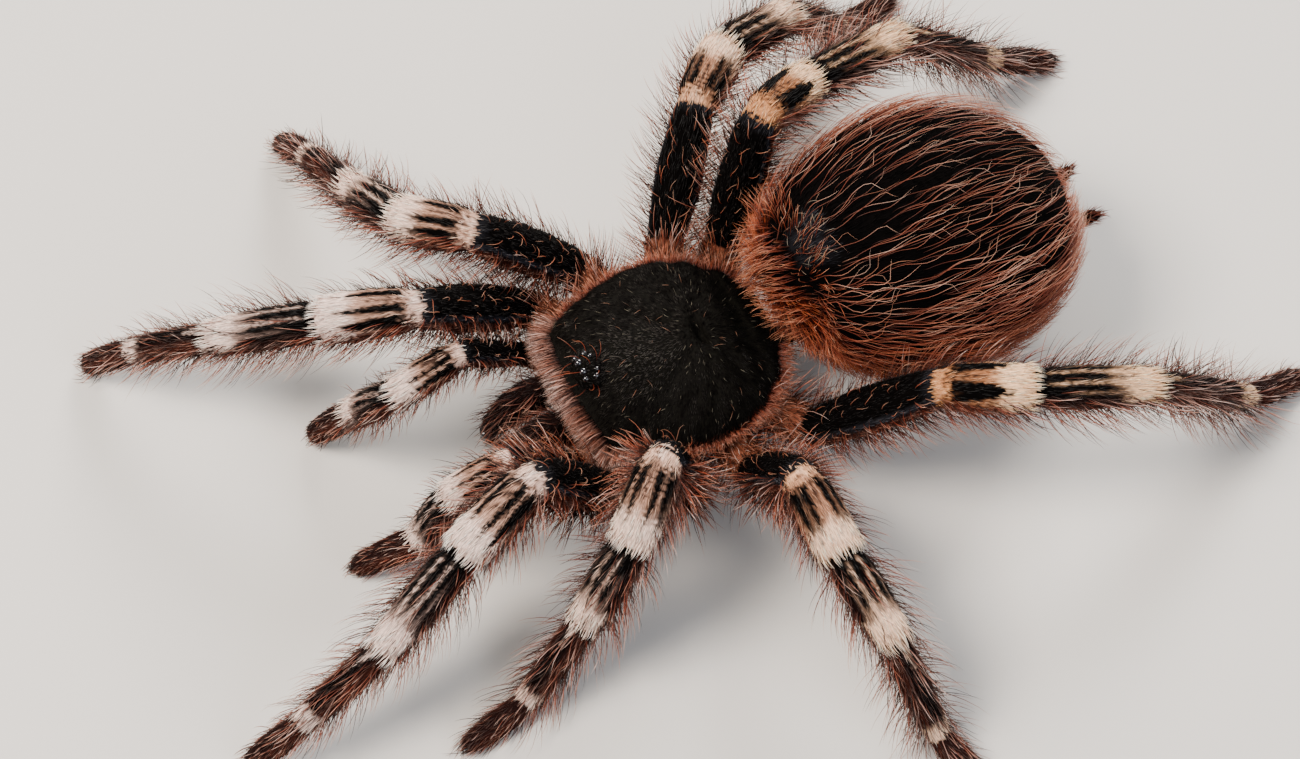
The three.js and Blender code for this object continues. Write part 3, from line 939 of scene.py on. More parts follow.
@dataclass
class Prosoma:
    """The front body: carapace, sternum, eye hill, jaws and fangs, leaning a little with the animal."""

    centre: Triple = (0.0, -0.8, 12.2)
    tilt: float = -4.0
    roll: float = 4.0
    turn: float = 4.0
    length: float = 27.6
    width: float = 25.4
    dome: float = 4.6
    caput: float = 1.7
    caput_reach: Pair = (0.17, 5.2)  # along, as a part of the length, and across in mm
    fovea: float = 1.3
    fovea_row: float = 0.64
    coat: float = 0.35  # depth of the pile on the shell
    thickness: float = 0.8
    bow: float = 1.4
    outline: tuple[float, ...] = (0.68, 0.78, 0.88, 0.96, 1.0, 0.98, 0.88, 0.68, 0.32)
    crown: tuple[float, ...] = (0.62, 0.95, 1.0, 0.93, 0.9, 0.94, 0.82, 0.5, 0.12)
    furrows: tuple[Triple, ...] = (  # bearing and spread in degrees, and depth
        (38.0, 7.0, 0.6), (78.0, 6.0, 0.3), (112.0, 6.0, 0.28), (146.0, 7.0, 0.28),
    )
    eye_row: float = -11.4
    eye_mound: Triple = (2.15, 1.8, 1.7)
    eye_places: tuple[Triple, ...] = (  # across, along and radius
        (0.62, -0.85, 0.5), (1.42, -0.85, 0.42), (1.56, 0.4, 0.38), (0.92, 0.75, 0.3),
    )
    jaw_x: float = 2.5
    jaw_width: float = 2.3
    jaw_coat: float = 0.5

    def lean(self) -> Array:
        """The turn of the hips: the roll about Y, then the tilt about X."""
        return turned("X", self.tilt) @ turned("Y", self.roll)

    def frame(self) -> Array:
        """The turn of the plates and jaws: about Z, then as the hips lean."""
        return self.lean() @ turned("Z", self.turn)

    def place(self, points: Array) -> Array:
        """Carries points from the front body's own axes to the animal's."""
        return points @ self.frame().T + np.array(self.centre)

    def place_hip(self, points: Array) -> Array:
        """Carries points of the hips, which keep out of the turn about Z, to the animal's axes."""
        return points @ self.lean().T + np.array(self.centre)

    def unplace(self, points: Array) -> Array:
        """Carries points back into the front body's own axes."""
        return (points - np.array(self.centre)) @ self.frame()

    def set_back(self, t: Array | float, across: Array) -> Array:
        """How far the front margin bends back towards its corners: bow * across^2, fading along the body."""
        return self.bow * across**2 * bell(t, 0.0, 0.1)

    def half_width(self, t: Array) -> Array:
        """Half the width of the rim at t, 0 in front and 1 behind."""
        return between(self.outline, t) * self.width / 2.0

    def half_width_at(self, y: Array) -> Array:
        """Half the width of the rim at y in the front body's axes."""
        return self.half_width(y / self.length + 0.5)

    def front_half_width(self) -> Array:
        """Half the width of the front margin."""
        return self.half_width(np.zeros(1))

    def crest(self, t: Array) -> Array:
        """Height of the dome's middle line over the rim at t."""
        return between(self.crown, t) * self.dome

    def shell_grid(self, rows: int, columns: int, inset: float = 0.0, carved: bool = False) -> Array:
        """Rings of the carapace in the front body's axes.

        At t along the body, x = half width * cos(angle) and the top is the crest * sqrt(1 - across^2),
        plus a bell-shaped caput, minus the pit of the fovea. The underside is a shallow tray.

        Args:
            rows: rings from front to rear, closer together at both ends.
            columns: points round each ring.
            inset: how far inside the coat's surface it lies, in mm.
            carved: adds the grooves that run out from the fovea.

        Returns:
            The rings, each a row of points.
        """
        t = ((1.0 - np.cos(np.pi * np.arange(rows) / (rows - 1))) / 2.0)[:, None]
        angle = circle(columns, 0.5)[None, :]
        across = np.cos(angle)
        y = (t - 0.5) * (self.length - 2.0 * inset) + self.set_back(t, across)
        x = (self.half_width(t) - inset) * across
        caput = self.caput * bell(t, 0.2, self.caput_reach[0]) * bell(x, 0.0, self.caput_reach[1])
        pit = self.fovea * bell(t, self.fovea_row, 0.045) * bell(x, 0.0, 2.4)
        if carved:
            pit = self.carving(x, y) + 0.45 * pit
        top = (self.crest(t) - inset) * np.sqrt(np.maximum(1.0 - across**2, 0.0)) + caput - pit
        under = -(self.thickness - inset) * np.minimum(1.0, 4.0 * (1.0 - np.abs(across)))
        return np.stack([x, y, np.where(np.sin(angle) > 0.0, top, under)], axis=-1)

    def dressed_shell(self) -> Sheet:
        """The carapace's shell under its pile."""
        return Sheet(self.place(self.shell_grid(110, 96, self.coat, carved=True)))

    def clear(self, paths: Array) -> Array:
        """Finds the hairs that stay out of the carapace.

        Args:
            paths: the middle lines of the hairs.

        Returns:
            True for each hair none of whose points lies within the rim and above the carapace's underside.
        """
        local = self.unplace(paths)
        inside = np.abs(local[..., 0]) < self.half_width_at(local[..., 1]) - 0.2
        inside &= (np.abs(local[..., 1]) < self.length / 2.0) & (local[..., 2] > -0.7)
        return ~inside.any(axis=1)

    def carving(self, x: Array, y: Array) -> Array:
        """Depth of the slit-like fovea and of the shallow furrows that run out from it like spokes.

        The slit is a flat-topped bell across and a bell along a shallow arc; each furrow is a bell in the
        bearing from the fovea, and fades in and out with the distance from it.

        Args:
            x: mm to the left of the middle line.
            y: mm behind the middle.

        Returns:
            The depth in mm.
        """
        dy = y - (self.fovea_row - 0.5) * self.length
        reach = np.hypot(x, dy)
        slit = 1.5 * bell(dy - 0.10 * x**2, 0.0, 0.55) * np.exp(-((x / 1.9) ** 4))
        bearing = np.degrees(np.arctan2(np.abs(x), -dy))
        spokes = sum(depth * bell(bearing, middle, spread) for middle, spread, depth in self.furrows)
        return slit + spokes * smooth_step(1.5, 4.0, reach) * fade(7.0, 12.5, reach)

    def rim(self, count: int) -> tuple[Array, Array]:
        """The carapace's edge as a closed walk from the rear, up the left side, over the front and back.

        Args:
            count: how many evenly spaced points to give.

        Returns:
            Points in the front body's axes and the outward directions in its plane, smoothed by a mean.
        """
        t = np.linspace(1.0, 0.0, 400)
        y = (t - 0.5) * self.length + self.set_back(t, np.ones(400))
        side = np.stack([self.half_width(t), y, np.zeros(400)], axis=-1)
        across = np.linspace(1.0, -1.0, 60)
        y = -self.length / 2.0 + self.set_back(0.0, across)
        front = np.stack([across * side[-1, 0], y, np.zeros(60)], axis=-1)
        walk = np.concatenate([side, front[1:-1], side[::-1] * [-1.0, 1.0, 1.0]])
        arc = np.concatenate([[0.0], np.cumsum(np.linalg.norm(np.diff(walk, axis=0), axis=1))])
        points = read_line(np.linspace(0.0, arc[-1], count), arc, walk)
        ahead = np.gradient(points, axis=0)
        mean = np.ones(31) / 31.0
        ahead = np.stack([np.convolve(ahead[:, k], mean, mode="same") for k in range(3)], axis=-1)
        return points, unit(np.cross(UP, unit(ahead)))

    def jaw_grid(self, side: int) -> Array:
        """Rings of a chelicera, from its tip back under the carapace: ellipses with their own top and belly.

        Args:
            side: 1 on the left, -1 on the right.

        Returns:
            The rings, each a row of points.
        """
        y = np.array([-22.7, -21.9, -20.2, -17.6, -14.9, -14.0, -9.6])
        z = np.array([-6.2, -5.0, -3.3, -2.0, -1.8, -2.5, -2.6])
        width = np.array([0.5, 0.78, 0.94, 1.0, 0.96, 0.84, 0.7]) * self.jaw_width
        top = np.array([1.6, 3.1, 3.9, 4.1, 3.5, 1.6, 1.4])
        belly = np.array([1.4, 2.5, 3.6, 4.1, 2.8, 1.5, 1.4])
        fine = np.linspace(0.0, 6.0, 40)
        coarse = (y, z, width, top, belly)
        y, z, width, top, belly = (np.interp(fine, np.arange(7), values) for values in coarse)
        shrink = np.minimum(1.0, 0.35 + fine / 1.2)
        angle = circle(28)
        height = np.where(np.sin(angle) > 0.0, top[:, None], belly[:, None]) - self.jaw_coat * shrink[:, None]
        x = side * self.jaw_x + (width - self.jaw_coat * 0.8 * shrink)[:, None] * np.cos(angle)
        return np.stack([x, y[:, None] + 0.0 * x, z[:, None] + height * np.sin(angle)], axis=-1)

    def core_grid(self) -> Array:
        """Rings of the soft body between the carapace, the sternum and the hips: ellipses along Y.

        Returns:
            The rings, each a row of points.
        """
        t = np.linspace(0.0, 1.0, 36)[:, None]
        half = np.interp(t, [0.0, 0.1, 0.5, 0.85, 1.0], [3.4, 6.4, 8.8, 6.0, 2.2])
        y = np.interp(t, [0.0, 1.0], [-11.4, 11.8])
        low = np.interp(t, [0.0, 0.2, 0.8, 1.0], [-4.4, -5.8, -5.8, -4.0])
        high = np.interp(t, [0.0, 0.1, 0.9, 1.0], [-0.6, 0.6, 0.6, -0.6])
        angle = circle(32)[None, :]
        z = (low + high) / 2.0 + (high - low) / 2.0 * np.sin(angle)
        return np.stack([half * np.cos(angle), y + 0.0 * angle, z], axis=-1)

    def sternum_sheet(self) -> Sheet:
        """The sternum: a shield whose belly bulges, with blunt points toward the hips.

        Its rings are rounded boxes, cos and sin to the power 0.6, and a cosine wave along the rim makes
        the points.

        Returns:
            The sheet in the animal's axes.
        """
        t = np.linspace(0.0, 1.0, 48)[:, None]
        angle = circle(48, 0.5)[None, :]
        scallop = 1.0 + 0.05 * np.cos(FULL_TURN * 4.0 * t)
        half = between((0.3, 0.82, 1.0, 0.96, 0.72, 0.16), t) * 4.9 * scallop
        across, upward = (np.sign(wave) * np.abs(wave) ** 0.6 for wave in (np.cos(angle), np.sin(angle)))
        y = -7.6 + 15.8 * t + 0.0 * angle
        depth = 0.9 * (1.0 - 0.55 * np.abs(2.0 * t - 1.0) ** 3)
        return Sheet(self.place(np.stack([half * across, y, -6.1 + depth * upward], axis=-1)))

    def fang_grid(self, side: int) -> Array:
        """Rings of a fang: a hook that folds back under its jaw, its radius falling as t^1.5.

        Args:
            side: 1 on the left, -1 on the right.

        Returns:
            The rings, each a row of points.
        """
        t = np.concatenate([[-0.2, -0.1], np.linspace(0.0, 1.0, 28)])
        turn = np.radians(-8.0 + 158.0 * np.maximum(t, 0.0))
        y = -18.2 - 3.9 * np.cos(turn) * (1.0 - 0.1 * t)
        z = -7.9 - 2.6 * np.sin(np.maximum(turn, 0.0)) - 6.0 * np.minimum(t, 0.0)
        centre = np.stack([side * (2.5 - 1.1 * t), y, z], axis=-1)
        ahead = unit(np.stack([np.zeros_like(t), np.sin(turn), -np.cos(turn)], axis=-1))
        lateral = np.broadcast_to([1.0, 0.0, 0.0], ahead.shape)
        radius = 0.9 - 0.82 * np.maximum(t, 0.0) ** 1.5
        return tube(centre, radius, lateral, np.cross(lateral, ahead), circle(16))


@dataclass
class Opisthosoma:
    """The abdomen, its stalk and its spinnerets."""

    length: float = 41.6
    width: float = 34.4
    height: float = 29.4
    centre: Triple = (-0.6, 31.2, 17.2)
    yaw: float = 3.0
    pitch: float = -4.0
    overhang: float = 3.2
    coat: float = 1.3
    pole: float = 4.0  # degrees from the end to the first and the last ring
    rings: int = 90
    spinneret_x: float = 1.9
    spinneret_radius: float = 1.15
    spinneret_length: float = 4.8

    def frame(self) -> Array:
        """The turn of the egg: its pitch, then its yaw."""
        return turned("Z", self.yaw) @ turned("X", self.pitch)

    def place(self, points: Array) -> Array:
        """Carries points from the egg's own axes to the animal's."""
        return points @ self.frame().T + np.array(self.centre)

    def lift(self, cosine: Array) -> Array:
        """How far the front of the egg is lifted: the overhang times cos(a)^3."""
        return self.overhang * np.maximum(0.0, cosine) ** 3

    def surface(self, a: Array, psi: Array, above: Array | float = 0.0) -> Array:
        """Points of the egg in the animal's axes.

        The length's half times -cos(a) runs from front to rear; the section's half sizes grow with
        sin(a) * (1 - 0.06 cos(a)).

        Args:
            a: angle along the body, 0 in front to pi behind.
            psi: angle round it, 0 on top, growing to the left.
            above: height over the skin in mm.

        Returns:
            The points.
        """
        full = np.sin(a) * (1.0 - 0.06 * np.cos(a))
        out = np.asarray(above) - self.coat
        x = (self.width / 2.0 * full + out * np.sin(a)) * np.sin(psi)
        z = (self.height / 2.0 * full + out * np.sin(a)) * np.cos(psi)
        y = -(self.length / 2.0 + out) * np.cos(a)
        return self.place(np.stack([x, y, z + self.lift(np.cos(a))], axis=-1))

    def egg(self) -> Sheet:
        """The skin under the coat, from front to rear."""
        a = np.radians(np.linspace(self.pole, 180.0 - self.pole, self.rings))
        return Sheet(self.surface(*np.meshgrid(a, circle(72), indexing="ij")))

    def angles(self, u: Array, v: Array) -> tuple[Array, Array]:
        """Turns rows and parts of a turn on the egg's sheet into a, and psi from -pi to pi."""
        step = math.radians(180.0 - 2.0 * self.pole) / (self.rings - 1)
        return math.radians(self.pole) + u * step, (v * FULL_TURN + np.pi) % FULL_TURN - np.pi

    def coordinates(self, points: Array) -> tuple[Array, Array]:
        """Finds the angles of points near the skin, by undoing the formula of the surface.

        Args:
            points: the points in the animal's axes.

        Returns:
            Their a and psi.
        """
        local = (points - np.array(self.centre)) @ self.frame()
        cosine = np.clip(-local[:, 1] / (self.length / 2.0 - self.coat), -1.0, 1.0)
        psi = np.arctan2(local[:, 0] / self.width, (local[:, 2] - self.lift(cosine)) / self.height)
        return np.arccos(cosine), psi

    def stalk_grid(self) -> Array:
        """Rings of the narrow waist between the two halves of the body: one ellipse along a bent line.

        Returns:
            The rings, each a row of points.
        """
        rise = ((7.0, 6.6), (9.4, 6.3), (13.6, 6.9), (17.0, 9.6), (20.5, 13.0))
        knots = np.array([[0.0, y, z] for y, z in rise])
        centre = read_line(np.linspace(0.0, 4.0, 24), np.arange(5), knots)
        angle = circle(20)
        ring = np.stack([1.7 * np.cos(angle), np.zeros(20), 1.45 * np.sin(angle)], axis=-1)
        return centre[:, None] + ring[None]

    def spinneret_grid(self, side: int) -> Array:
        """Rings of a spinneret: three short finger joints that point back and a little up.

        Args:
            side: 1 on the left, -1 on the right.

        Returns:
            The rings, each a row of points.
        """
        tail = self.place(np.array([[0.0, self.length / 2.0 - 0.4, -self.height * 0.17]]))[0]
        turn = turned("Z", self.yaw)
        start = tail + turn @ np.array([side * self.spinneret_x, -2.0, -0.4])
        ahead = unit(turn @ np.array([side * 0.28, 0.93, 0.22]))
        across = unit(np.cross(ahead, UP))
        t = np.linspace(0.0, 1.0, 36)
        girth = between((1.0, 1.0, 1.08, 0.84, 0.98, 0.72, 0.8, 0.7, 0.3), t) * self.spinneret_radius
        centre = start + t[:, None] * ahead * (self.spinneret_length + 2.0)
        return tube(centre, girth, across, -np.cross(across, ahead), circle(20))


# ---- limbs


class Part(Enum):
    """The segments of a limb, from the body outwards."""

    COXA = 0
    FEMUR = 1
    PATELLA = 2
    TIBIA = 3
    METATARSUS = 4
    TARSUS = 5


LEG_PARTS = tuple(Part)
PALP_PARTS = (Part.COXA, Part.FEMUR, Part.PATELLA, Part.TIBIA, Part.TARSUS)

LEG_GIRTH = {
    Part.COXA: (1.6, 2.2, 2.5, 2.3),
    Part.FEMUR: (2.2, 2.55, 2.85, 2.85, 2.65, 2.35),
    Part.PATELLA: (2.45, 2.85, 3.0, 3.0, 2.85),
    Part.TIBIA: (2.2, 2.5, 2.6, 2.5, 2.4, 2.2),
    Part.METATARSUS: (1.8, 1.9, 1.85, 1.75, 1.6),
    Part.TARSUS: (1.5, 1.7, 1.7, 1.55, 1.2),
}
PALP_GIRTH = {
    Part.COXA: (1.0, 1.3, 1.4, 1.4),
    Part.FEMUR: (1.4, 1.6, 1.75, 1.7),
    Part.PATELLA: (1.75, 2.1, 2.2, 2.1),
    Part.TIBIA: (1.8, 2.15, 2.2, 2.0),
    Part.TARSUS: (1.75, 1.95, 1.85, 1.65, 1.15),
}


def from_top(v: Array) -> Array:
    """Turns parts of a turn round a limb into degrees from its top, 0 to 180."""
    return np.abs((v + 0.5) % 1.0 - 0.5) * 360.0


@dataclass(frozen=True)
class Stance:
    """How a limb is held, in degrees: yaw from straight ahead out to its side, the rise of each segment
    but the last, and what is added to the yaw at each later joint. Swing carries the hip back, in mm."""

    yaw: float
    pitch: tuple[float, ...]
    bend: tuple[float, ...]
    swing: float = 0.0


@dataclass
class Limb:
    """One leg or palp: a line through its joints, with a frame and a girth at each step."""

    name: str
    side: int
    fore: float  # 1 on the front legs, whose pale bands are rosy, to 0 on the hind ones, where they are cream
    parts: tuple[Part, ...]
    inner: Triple
    outer: Triple
    lengths: tuple[float, ...]
    stance: Stance
    girths: dict[Part, tuple[float, ...]]
    pad_height: float = 0.5
    toe: float = 1.2  # mm over which the tip rounds off
    step: float = 0.25
    rounding: int = 5  # steps on each side that the running mean takes in
    columns: int = 28
    arc: Array = field(init=False)
    marks: Array = field(init=False)
    centre: Array = field(init=False)
    along: Array = field(init=False)
    across: Array = field(init=False)
    rise: Array = field(init=False)
    radius: Array = field(init=False)

    def is_palp(self) -> bool:
        """Whether it is a palp, which has no metatarsus."""
        return self.parts is PALP_PARTS

    def joints(self, prosoma: Prosoma) -> Array:
        """Works out the joints one after another; the last segment drops until its pad is on the floor.

        A segment runs from its joint along (sin yaw cos pitch, -cos yaw cos pitch, sin pitch).

        Args:
            prosoma: carries the hip.

        Returns:
            The joints from the body outwards, in the animal's axes.
        """
        x, y, z = self.outer
        swing = self.stance.swing
        inner = [self.side * self.inner[0], *self.inner[1:]]
        found = list(prosoma.place_hip(np.array([inner, [self.side * (x - swing / 4.0), y + swing, z]])))
        yaw = self.stance.yaw
        for i, length in enumerate(self.lengths):
            yaw += self.stance.bend[i - 1] if i else 0.0
            near = found[-1]
            if i < len(self.stance.pitch):
                pitch = math.radians(self.stance.pitch[i])
            else:
                pitch = -math.asin(min(max((near[2] - self.pad_height) / length, 0.0), 0.95))
            level = math.cos(pitch)
            turn = math.radians(yaw)
            heading = np.array([self.side * math.sin(turn) * level, -math.cos(turn) * level, math.sin(pitch)])
            found.append(near + length * heading)
        return np.array(found)

    def lay(self, prosoma: Prosoma) -> None:
        """Samples the line every step, rounds its corners with a running mean and frames each sample.

        Args:
            prosoma: carries the hip.
        """
        joints = self.joints(prosoma)
        spans = np.linalg.norm(np.diff(joints, axis=0), axis=1)
        self.marks = np.concatenate([[0.0], np.cumsum(spans)])
        self.arc = np.linspace(0.0, self.marks[-1], int(self.marks[-1] / self.step) + 1)
        line = read_line(self.arc, self.marks, joints)
        reach = self.rounding
        for _ in range(2):
            head = 2.0 * line[0] - line[reach:0:-1]
            tail = 2.0 * line[-1] - line[-2 : -reach - 2 : -1]
            sums = np.cumsum(np.concatenate([[[0.0] * 3], head, line, tail]), axis=0)
            line = (sums[2 * reach + 1 :] - sums[: -2 * reach - 1]) / (2 * reach + 1)
        self.centre = line
        self.along = unit(np.gradient(line, axis=0))
        self.across = unit(np.cross(self.along, UP))
        self.rise = np.cross(self.across, self.along)
        self.radius = self.girth(self.arc)

    def arc_at(self, u: Array) -> Array:
        """Turns rows of the limb's sheet into mm along the limb."""
        return np.interp(u, np.arange(len(self.arc)), self.arc)

    def where(self, arc: Array) -> tuple[Array, Array]:
        """Finds the segments that places along the limb are in.

        Args:
            arc: mm along the limb.

        Returns:
            The number of the segment, and the place along it, 0 to 1.
        """
        index = np.clip(np.searchsorted(self.marks, arc, side="right") - 1, 0, len(self.parts) - 1)
        near, far = self.marks[index], self.marks[index + 1]
        return index, np.clip((arc - near) / (far - near), 0.0, 1.0)

    def girth(self, arc: Array) -> Array:
        """Radius of the skin: the stations of each segment, a slight waist at joints, a rounded toe.

        Args:
            arc: mm along the limb.

        Returns:
            The radius in mm.
        """
        index, t = self.where(arc)
        radius = np.zeros_like(arc)
        for i, part in enumerate(self.parts):
            radius = np.where(index == i, between(self.girths[part], t), radius)
        for mark in self.marks[2:-1]:
            radius = radius * (1.0 - 0.15 * bell(arc - mark, 0.45, 0.55))
        toe = np.clip((arc - (self.marks[-1] - self.toe)) / self.toe, 0.0, 0.999)
        return radius * np.sqrt(1.0 - toe**2)

    def sheet(self) -> Sheet:
        """Lays the skin as a tube whose angle runs from the top, kept off the floor.

        Returns:
            The skin.
        """
        grid = tube(self.centre, self.radius, self.rise, self.across, circle(self.columns))
        grid[..., 2] = np.maximum(grid[..., 2], 0.12)
        return Sheet(grid)

    def coordinates(self, points: Array, nearest: Array) -> tuple[Array, Array]:
        """Finds where on the limb points near its skin are.

        Args:
            points: the points.
            nearest: the number of the sample that each is nearest to.

        Returns:
            Mm along the limb, and the angle from its top.
        """
        offset = points - self.centre[nearest]
        ahead, aside, above = (
            np.sum(offset * axis[nearest], axis=1) for axis in (self.along, self.across, self.rise)
        )
        return self.arc[nearest] + ahead, np.arctan2(aside, above)


def make_limbs(prosoma: Prosoma) -> list[Limb]:
    """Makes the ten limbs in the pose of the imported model.

    Args:
        prosoma: carries the hips.

    Returns:
        The left palp and legs from front to rear, and then the right ones.
    """
    lengths = (
        (19.6, 11.8, 14.9, 12.9, 9.3),
        (18.0, 10.5, 12.8, 12.3, 9.0),
        (16.9, 10.0, 11.6, 15.1, 9.5),
        (19.8, 11.0, 15.2, 19.8, 9.6),
    )
    hips = (
        ((5.9, -6.1, -4.5), (13.2, -12.4, -3.0)),
        ((6.2, -1.4, -4.7), (16.1, -4.5, -3.2)),
        ((6.2, 3.0, -4.8), (16.6, 4.5, -3.3)),
        ((5.5, 7.8, -4.9), (13.4, 13.2, -3.3)),
    )
    palp = (PALP_PARTS, (3.1, -9.1, -5.9), (7.8, -14.8, -3.8), (14.0, 9.0, 10.0, 9.5))
    palp_stances = {
        "left": Stance(12, (48, -39, -67), (-22, 0, 0)),
        "right": Stance(-15, (47, -26, -54), (15, 42, -7)),
    }
    leg_stances = {
        "left": (
            Stance(15, (55, -30, -28, -25), (0, 6, -8, -17)),
            Stance(39, (73, -36, -55, -36), (3, -23, 3, -7)),
            Stance(97, (56, -17, -18, -57), (0, 3, 10, 0)),
            Stance(149, (43, 1, -12, -43), (7, 10, 16, 10)),
        ),
        "right": (
            Stance(-9, (41, -15, -26, -33), (33, 5, 6, 5)),
            Stance(11, (45, -21, -32, -30), (37, 28, 3, 0)),
            Stance(128, (35, -8, -15, -53), (6, 28, 0, 0), swing=2.2),
            Stance(145, (67, -24, -15, -44), (5, 14, 15, 4)),
        ),
    }
    limbs = []
    for word, side in SIDES:
        limbs.append(Limb(f"palp_{word}", side, 1.0, *palp, palp_stances[word], PALP_GIRTH))
        legs = zip((1.0, 0.8, 0.35, 0.0), hips, lengths, leg_stances[word])
        for number, (fore, hip, spans, stance) in enumerate(legs, start=1):
            limbs.append(Limb(f"leg_{number}_{word}", side, fore, LEG_PARTS, *hip, spans, stance, LEG_GIRTH))
    for limb in limbs:
        limb.lay(prosoma)
    return limbs


# ---- markings


@dataclass(frozen=True)
class Markings:
    """The pattern of the coat, the same for the skin and for the hairs over it."""

    def limb(self, limb: Limb, arc: Array, psi: Array) -> Array:
        """Colours of the short coat of a limb.

        Args:
            limb: the limb.
            arc: mm along it.
            psi: angle round it in radians, 0 on top.

        Returns:
            Root, middle and tip colours for each place.
        """
        index, t = limb.where(arc)
        angle = np.abs(np.degrees((psi + np.pi) % FULL_TURN - np.pi))
        colours = np.zeros((len(arc), 3, 3))
        for i, part in enumerate(limb.parts):
            chosen = index == i
            if chosen.any():
                colours[chosen] = getattr(self, part.name.lower())(t[chosen], angle[chosen], limb.fore)
        return colours

    def pale(self, fore: float) -> Array:
        """The colour of the pale bands: rosy white on the front legs, cream on the hind ones."""
        return Dye.CREAM * (1.0 - fore) + Dye.CHALK * fore

    def coxa(self, t: Array, angle: Array, fore: float) -> Array:
        """Orange-brown fuzz, darker below."""
        return tint(0.6 * Dye.EMBER + 0.4 * Dye.TAN, Dye.UMBER, smooth_step(95.0, 150.0, angle) * 0.85)

    def femur(self, t: Array, angle: Array, fore: float) -> Array:
        """Black velvet above, a dusty edge, rosy brown below; dusty near the knee.

        Args:
            t: the place along the segment, 0 to 1.
            angle: degrees from its top.
            fore: 1 on the front legs to 0 on the hind ones; not used.

        Returns:
            Root, middle and tip colours for each place.
        """
        colours = tint(Dye.BLACK, Dye.GREY, 0.7 * window(angle, 66.0, 80.0, 6.0))
        colours = tint(colours, Dye.ROSEWOOD, 0.8 * smooth_step(80.0, 96.0, angle))
        colours = tint(colours, Dye.UMBER, 0.7 * smooth_step(125.0, 155.0, angle))
        return tint(colours, Dye.GREY, 0.3 * smooth_step(0.93, 0.99, t))

    def wedge(self, angle: Array, middle: float, half: Array) -> Array:
        """Is 1 within half of the middle angle and fades to 0 over five degrees."""
        return fade(half - 3.0, half + 2.0, np.abs(angle - middle))

    def patella(self, t: Array, angle: Array, fore: float) -> Array:
        """A pale band at the near end, black wedges on each side, and a pale cap at the far end.

        A wedge narrows as (1 - u)^0.4 towards the cap, where u runs along it from 0 to 1; two sine waves
        round the leg give its far end rays. The hind legs have one wedge a side, the front legs two.

        Args:
            t: the place along the segment, 0 to 1.
            angle: degrees from its top.
            fore: 1 on the front legs to 0 on the hind ones.

        Returns:
            Root, middle and tip colours for each place.
        """
        pale = self.pale(fore)
        ragged = t + 0.045 * np.sin(0.55 * angle) + 0.035 * np.sin(1.3 * angle + 1.0)
        warm = (0.65 - 0.1 * fore) * Dye.TAN + (0.35 - 0.15 * fore) * Dye.AMBER + 0.25 * fore * Dye.CHALK
        base = tint(warm, pale, 0.75 * smooth_step(0.54, 0.74, ragged))
        edge = 6.0 * np.sin(9.0 * t)
        side = (1.0 - 0.3 * fore) * Dye.ROSEWOOD + 0.3 * fore * Dye.BLACK
        colours = tint(base, side, smooth_step(62.0, 80.0, angle + edge))
        centre_line = fade(1.5, 5.0, angle) * window(t, 0.06, 0.5, 0.06)
        colours = tint(colours, Dye.UMBER, 0.9 * centre_line)
        taper = (1.0 - np.clip((ragged - 0.1) / 0.68, 0.0, 1.0)) ** 0.4
        split = np.maximum(self.wedge(angle, 22.0, 13.5 * taper), self.wedge(angle, 57.0, 20.0 * taper))
        patches = fore * split + (1.0 - fore) * self.wedge(angle, 38.0, 31.0 * taper)
        patches = patches * window(ragged, 0.14 - 0.04 * fore, 0.77, 0.025)
        colours = tint(colours, Dye.BLACK, patches)
        cap = smooth_step(0.62, 0.75, ragged) * fade(84.0, 104.0, angle)
        colours = tint(colours, pale, cap * (1.0 - patches))
        band = fade(0.05, 0.11, ragged) * fade(84.0, 108.0, angle)
        amber = (0.8 - 0.5 * fore) * Dye.AMBER + (0.2 + 0.5 * fore) * pale
        colours = tint(colours, tint(amber, pale, fore * fade(8.0, 20.0, angle)), band)
        return tint(colours, Dye.UMBER, 0.8 * smooth_step(108.0, 140.0, angle))

    def tibia(self, t: Array, angle: Array, fore: float) -> Array:
        """Black above with two thin pale lines that run into the cap at the far end, brown sides.

        A line is a bell round the leg that moves inwards and widens with t; a fainter one stands outside it.

        Args:
            t: the place along the segment, 0 to 1.
            angle: degrees from its top.
            fore: 1 on the front legs to 0 on the hind ones.

        Returns:
            Root, middle and tip colours for each place.
        """
        pale = self.pale(fore)
        colours = tint(Dye.BLACK, Dye.UMBER, smooth_step(50.0, 74.0, angle))
        spread = 2.8 + 1.6 * t + 16.0 * smooth_step(0.52, 0.78, t)
        lines = bell(angle, 20.0 - 6.0 * t, spread) * smooth_step(0.08, 0.16, t)
        colours = tint(colours, 0.4 * Dye.TAN + 0.6 * pale, 0.95 * lines)
        outer = bell(angle, 46.0, 3.5 + 14.0 * smooth_step(0.55, 0.8, t)) * smooth_step(0.2, 0.4, t)
        colours = tint(colours, 0.6 * Dye.ROSEWOOD + 0.4 * pale, 0.45 * outer)
        cap = smooth_step(0.7, 0.8, t + 0.03 * np.sin(0.6 * angle)) * fade(70.0, 96.0, angle)
        colours = tint(colours, pale, cap)
        side = smooth_step(78.0, 98.0, angle) * fade(125.0, 150.0, angle)
        return tint(colours, Dye.ROSEWOOD, 0.5 * side * (1.0 - cap))

